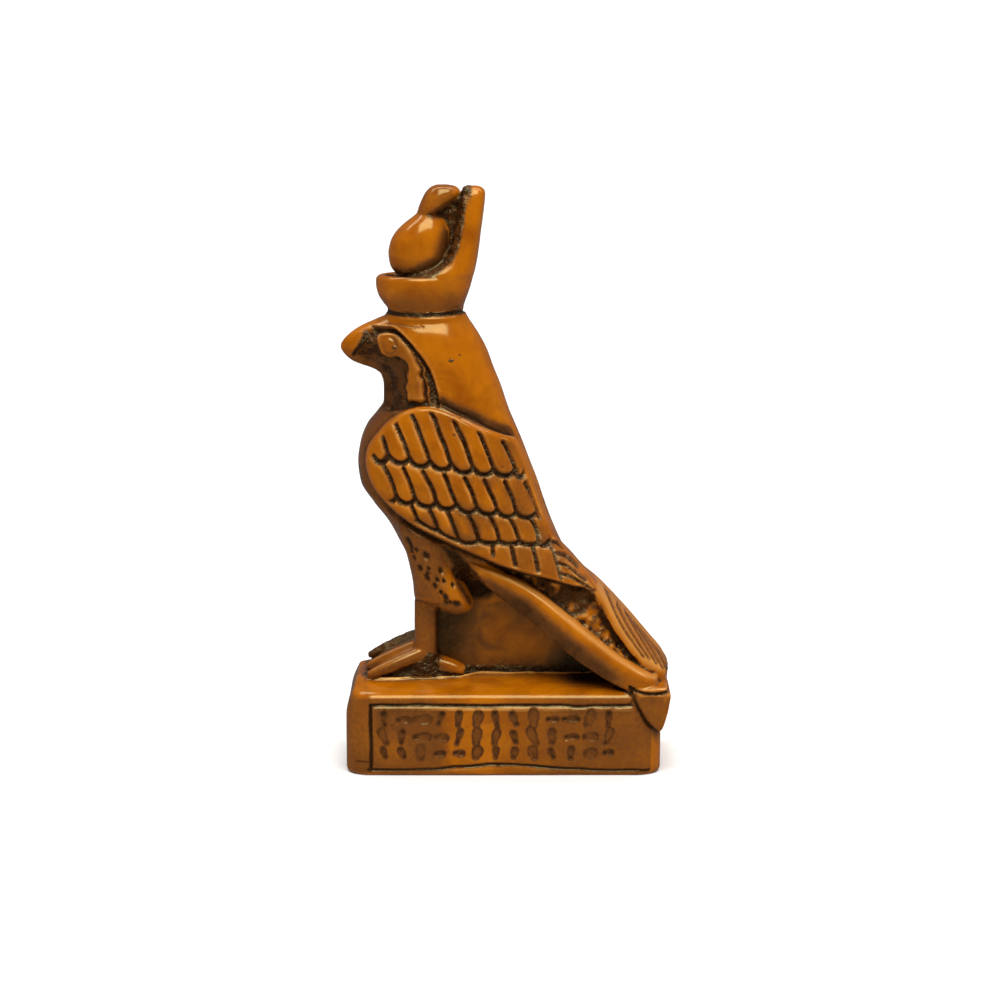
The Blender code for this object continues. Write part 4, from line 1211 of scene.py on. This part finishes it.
# The gap under the wing's lower edge, sunk and darkened as painted shadow, and a painted shadow band below
# the wing.
below = fade(-side_z, -53.0, -46.0) * sideways
gap_shadow = fade(-wing_depth, -0.05, 0.25) * fade(wing_depth, -1.1, -0.6)
sink(gap_shadow * below * (side_x < 13.0), 0.7, THICK)
under_wing_shadow = fade(wing_depth, -3.4, -0.8) * fade(-wing_depth, -0.1, 0.2)
streaks = grain(place * (1, 1, 0.25), 0.8, 62)
stain_and_shade(under_wing_shadow * below * (side_x < -7.0) * (0.5 + 0.6 * streaks), 0.8, 0.5)
stain_and_shade(fade(-np.abs(wing_depth + 0.25), -0.5, -0.1) * sideways * (wing_depth < 0.0), 0.75, 0.2)

# %% [markdown]
# ## Cut, then find the hollows
# Now the skin is moved once. Grit is added where the ground is rough. Then every point is compared with the
# average of its surroundings: one that lies below it is in a hollow and holds wash, and the broad hollows
# are darkened further as painted shade. One that stands above it is an edge where the wash was rubbed off
# and the resin shows paler, kept mostly to edges that face up as a painted highlight.

# %% Move the skin
GRIT_DEPTH = 0.36
EDGE_WEAR_AND_HIGHLIGHT = 0.7
grit = grain(place, 0.62, 21) + 0.6 * grain(place, 0.42, 22) - 0.8
gritty *= 1 - near_face * 0.7
push += grit * GRIT_DEPTH * fade(gritty, 0.3, 0.8)
push += (grain(place, 6.0, 31) - 0.5) * 0.12 + (grain(place, 14.0, 32) - 0.5) * 0.2
floor_hold = fade(place[:, 2], 0.0, 0.5)
place = place + facing_out * (push * floor_hold)[:, None]
AFTER_SHARE = 0.35
place = averaged(place, 1, AFTER_SHARE)

# %% Hollows and edges
out = normals(place)
FINE_ROUNDS = 8
BROAD_ROUNDS = 70
fine = np.sum((averaged(place, FINE_ROUNDS) - place) * out, axis=1)
broad = np.sum((averaged(place, BROAD_ROUNDS) - place) * out, axis=1)
# Fine hollows hold wash; the broad term darkens wider recesses as painted shade.
hollow_wash_and_shade = 0.9 * fade(fine, 0.035, 0.16) + 0.75 * fade(broad, 0.12, 0.75) * (1 - 0.6 * on_shelf)
wash_and_shade = np.clip(np.maximum(wash_and_shade, hollow_wash_and_shade), 0, 1)
# Rubbed edges turn pale, kept to faces that look up as a painted highlight.
edge_wear_and_highlight = EDGE_WEAR_AND_HIGHLIGHT * fade(-fine, 0.05, 0.16) * (1 - fade(wash_and_shade, 0.3, 0.6)) * fade(out[:, 2], -0.2, 0.4)
wear_and_highlight = np.clip(np.maximum(wear_and_highlight, edge_wear_and_highlight), 0, 1)
print("share of skin under wash:", round(float((wash_and_shade > 0.5).mean()), 3))

# %% [markdown]
# ## The finished piece
# The skin goes back into a mesh in metres, with the wash and its painted shade, the wear and its painted
# highlights, and grit as numbers at each point. Thinning keeps the small triangles where the surface turns
# and joins them where it is flat, so the piece stays light.

# %% Build the piece
place[:, 0] += ORIGIN_X
place[:, 2] = np.clip(place[:, 2], 0.0, HEIGHT)
skin.vertices.foreach_set("co", (place * MM).astype(np.float32).ravel())
for name, values in (("wash_and_shade", wash_and_shade), ("wear_and_highlight", wear_and_highlight), ("gritty", gritty)):
    layer = skin.attributes.new(name, "FLOAT", "POINT")
    layer.data.foreach_set("value", values.astype(np.float32))
skin.polygons.foreach_set("use_smooth", np.ones(len(skin.polygons), bool))
skin.update()
figure = bpy.data.objects.new("cast_falcon", skin)
bpy.context.scene.collection.objects.link(figure)
thin = figure.modifiers.new("thin", "DECIMATE")
thin.ratio = min(1.0, MOST_TRIANGLES / (2 * len(quads)))
evaluated = figure.evaluated_get(bpy.context.evaluated_depsgraph_get())
finished = bpy.data.meshes.new_from_object(evaluated)
figure.modifiers.clear()
figure.data = finished
bpy.data.meshes.remove(skin)
finished.calc_loop_triangles()
print("cast_falcon:", len(finished.loop_triangles), "triangles, layers", list(finished.attributes.keys()))

# %% [markdown]
# ## The resin and its finish
# Casting resin coloured like honey amber, with a brown antique wash in the hollows under gloss varnish. The
# colour is nearly even, with faint clouds where the pigment swirled. Resin's index of refraction is about
# 1.57. The varnish is smooth and thin, so it gives sharp highlights over a softer body
# colour; where the wash lies thick it is a little duller and gritty.


# %% Colours and a node helper
def colour(code):
    """An sRGB hex code as linear red, green, blue and alpha."""
    parts = np.array([int(code[i : i + 2], 16) / 255 for i in (1, 3, 5)])
    linear = np.where(parts <= 0.04045, parts / 12.92, ((parts + 0.055) / 1.055) ** 2.4)
    return (*linear.tolist(), 1.0)


def add(tree, kind, inputs=None, **settings):
    """Adds a node with its settings. Each input is a value, or the socket of another node to link."""
    made = tree.nodes.new(kind)
    for name, value in settings.items():
        setattr(made, name, value)
    for socket, value in (inputs or {}).items():
        if isinstance(value, bpy.types.NodeSocket):
            tree.links.new(value, made.inputs[socket])
        else:
            made.inputs[socket].default_value = value
    return made


def per_mm(size):
    """Noise scale whose clouds are about this many millimetres, on coordinates in metres."""
    return 1000.0 / size


# %% Amber casting resin with antique wash and gloss varnish
CLOUD_SIZE = 7.0
PATCH_SIZE = 0.7
GRIT_SIZE = 0.35
GRIT_HEIGHT = 0.0004
PATCH_SWING = 0.35
AMBER = colour("#B06203")
AMBER_DEEP = colour("#8F4903")
# The pale colour is resin with the wash rubbed off, and also a painted highlight.
AMBER_WORN_AND_HIGHLIT = colour("#D6964A")
# The two browns are the wash, and in some places painted shade.
THIN_WASH_AND_SHADE = colour("#6F3E17")
WASH_AND_SHADE = colour("#2C1004")
VARNISH = colour("#FFEFA6")

resin = bpy.data.materials.new("amber_casting_resin_varnished")
resin.use_nodes = True
tree = resin.node_tree
shader = tree.nodes["Principled BSDF"]
where = add(tree, "ShaderNodeTexCoord").outputs["Object"]
wash_and_shade_layer = add(tree, "ShaderNodeAttribute", attribute_name="wash_and_shade").outputs["Fac"]
wear_and_highlight_layer = add(tree, "ShaderNodeAttribute", attribute_name="wear_and_highlight").outputs["Fac"]
gritty_layer = add(tree, "ShaderNodeAttribute", attribute_name="gritty").outputs["Fac"]
clouds = add(
    tree,
    "ShaderNodeTexNoise",
    {"Vector": where, "Scale": per_mm(CLOUD_SIZE), "Detail": 4.0, "Roughness": 0.6, "Distortion": 0.6},
)
cloud_amount = add(
    tree,
    "ShaderNodeMapRange",
    {"Value": clouds.outputs["Fac"], "From Min": 0.38, "From Max": 0.68},
)

def blend_colour(amount, first, second):
    """A colour mix whose sockets are found by kind, because the node carries one set per data type."""
    made = tree.nodes.new("ShaderNodeMix")
    made.data_type = "RGBA"
    sockets = [s for s in made.inputs if s.enabled]
    for socket, value in zip(sockets, (amount, first, second)):
        if isinstance(value, bpy.types.NodeSocket):
            tree.links.new(value, socket)
        else:
            socket.default_value = value
    return next(s for s in made.outputs if s.enabled)


body_colour = blend_colour(cloud_amount.outputs["Result"], AMBER, AMBER_DEEP)
patches = add(
    tree,
    "ShaderNodeTexNoise",
    {"Vector": where, "Scale": per_mm(PATCH_SIZE), "Detail": 3.0, "Roughness": 0.65},
)
patch_amount = add(
    tree,
    "ShaderNodeMath",
    {0: patches.outputs["Fac"], 1: PATCH_SWING, 2: -PATCH_SWING / 2},
    operation="MULTIPLY_ADD",
)
wash_and_shade_sum = add(tree, "ShaderNodeMath", {0: wash_and_shade_layer, 1: patch_amount.outputs[0]}, operation="ADD")
wash_and_shade_amount = wash_and_shade_sum.outputs[0]
thin_share = add(tree, "ShaderNodeMapRange", {"Value": wash_and_shade_amount, "From Min": 0.06, "From Max": 0.52})
thick_share = add(tree, "ShaderNodeMapRange", {"Value": wash_and_shade_amount, "From Min": 0.5, "From Max": 0.98})
worn_and_highlit = blend_colour(wear_and_highlight_layer, body_colour, AMBER_WORN_AND_HIGHLIT)
under_film_and_shade = blend_colour(thin_share.outputs["Result"], worn_and_highlit, THIN_WASH_AND_SHADE)
final_colour = blend_colour(thick_share.outputs["Result"], under_film_and_shade, WASH_AND_SHADE)
tree.links.new(final_colour, shader.inputs["Base Color"])
grit_fine = add(
    tree,
    "ShaderNodeTexNoise",
    {"Vector": where, "Scale": per_mm(GRIT_SIZE), "Detail": 2.0},
)
grit_height = add(
    tree,
    "ShaderNodeMath",
    {0: grit_fine.outputs["Fac"], 1: gritty_layer},
    operation="MULTIPLY",
)
bump = add(
    tree,
    "ShaderNodeBump",
    {"Strength": 1.0, "Distance": GRIT_HEIGHT, "Height": grit_height.outputs[0]},
)
tree.links.new(bump.outputs["Normal"], shader.inputs["Normal"])
gloss = add(
    tree,
    "ShaderNodeMapRange",
    {"Value": thick_share.outputs["Result"], "To Min": 0.17, "To Max": 0.28},
)
tree.links.new(gloss.outputs["Result"], shader.inputs["Roughness"])
shader.inputs["IOR"].default_value = 1.57
shader.inputs["Metallic"].default_value = 0.0
shader.inputs["Specular Tint"].default_value = VARNISH
shader.inputs["Subsurface Weight"].default_value = 0.12
shader.inputs["Subsurface Radius"].default_value = (1.0, 0.45, 0.1)
shader.inputs["Subsurface Scale"].default_value = 0.0012
figure.data.materials.clear()
figure.data.materials.append(resin)
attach(figure, "root")
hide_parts("falcon_figure")

# %% [markdown]
# ## Floor and light
# A pale floor that runs up behind, one large soft light overhead, and a darker room on the camera's side,
# which is why the faces turned to the camera look deepest. The varnish must mirror that dark room and not
# the paper that only fills this small stage, so the sheet is hidden from mirror reflections.

# %% Floor, backdrop and lights
FLOOR = colour("#F4F3F1")
paper = bpy.data.materials.new("matt_white_paper")
paper.use_nodes = True
paper_shader = paper.node_tree.nodes["Principled BSDF"]
paper_shader.inputs["Base Color"].default_value = FLOOR
paper_shader.inputs["Roughness"].default_value = 0.9
paper_shader.inputs["Specular IOR Level"].default_value = 0.1


def sweep():
    """A sheet of paper: flat in front, then a quarter circle up behind."""
    bend = np.linspace(0, np.pi / 2, 24)
    turn_at, radius, wide = 0.55, 0.5, 2.5
    y = np.concatenate([[-2.5], turn_at + radius * np.sin(bend), [turn_at + radius]])
    z = np.concatenate([[0.0], radius * (1 - np.cos(bend)), [1.6]])
    x = np.array([-wide, wide])
    grid = np.stack([x[None, :] + 0 * y[:, None], y[:, None] + 0 * x, z[:, None] + 0 * x], axis=-1)
    i = np.arange(len(y) - 1) * 2
    return grid.reshape(-1, 3), np.stack([i, i + 1, i + 3, i + 2], axis=-1).tolist()


floor = put_in_mesh("paper_sweep", *sweep())
floor.data.polygons.foreach_set("use_smooth", np.ones(len(floor.data.polygons), bool))
floor.data.materials.append(paper)
floor.visible_glossy = False


def soft_light(name, place, aim, size, power):
    """A rectangular light panel that faces a point."""
    panel = bpy.data.lights.new(name, "AREA")
    panel.shape = "RECTANGLE"
    panel.size, panel.size_y = size
    panel.energy = power
    lamp = bpy.data.objects.new(name, panel)
    away = np.array(place) - np.array(aim)
    lamp.location = place
    tilt = np.arctan2(np.hypot(away[0], away[1]), away[2])
    lamp.rotation_euler = (tilt, 0.0, np.arctan2(away[1], away[0]) + np.pi / 2)
    bpy.context.scene.collection.objects.link(lamp)


OVERHEAD_POWER = 6.2
BACKDROP_POWER = 12.0
ROOM_STRENGTH = 0.12
soft_light("overhead", (0.05, -0.27, 0.66), (0.0, 0.0, 0.05), (0.64, 0.42), OVERHEAD_POWER)
soft_light("backdrop", (0.0, 0.35, 1.0), (0.0, 1.0, 0.15), (1.8, 0.4), BACKDROP_POWER)
world = bpy.data.worlds.new("room")
world.use_nodes = True
world.node_tree.nodes["Background"].inputs["Color"].default_value = (1.0, 1.0, 1.0, 1.0)
world.node_tree.nodes["Background"].inputs["Strength"].default_value = ROOM_STRENGTH
bpy.context.scene.world = world
bpy.context.scene.view_settings.view_transform = "Standard"
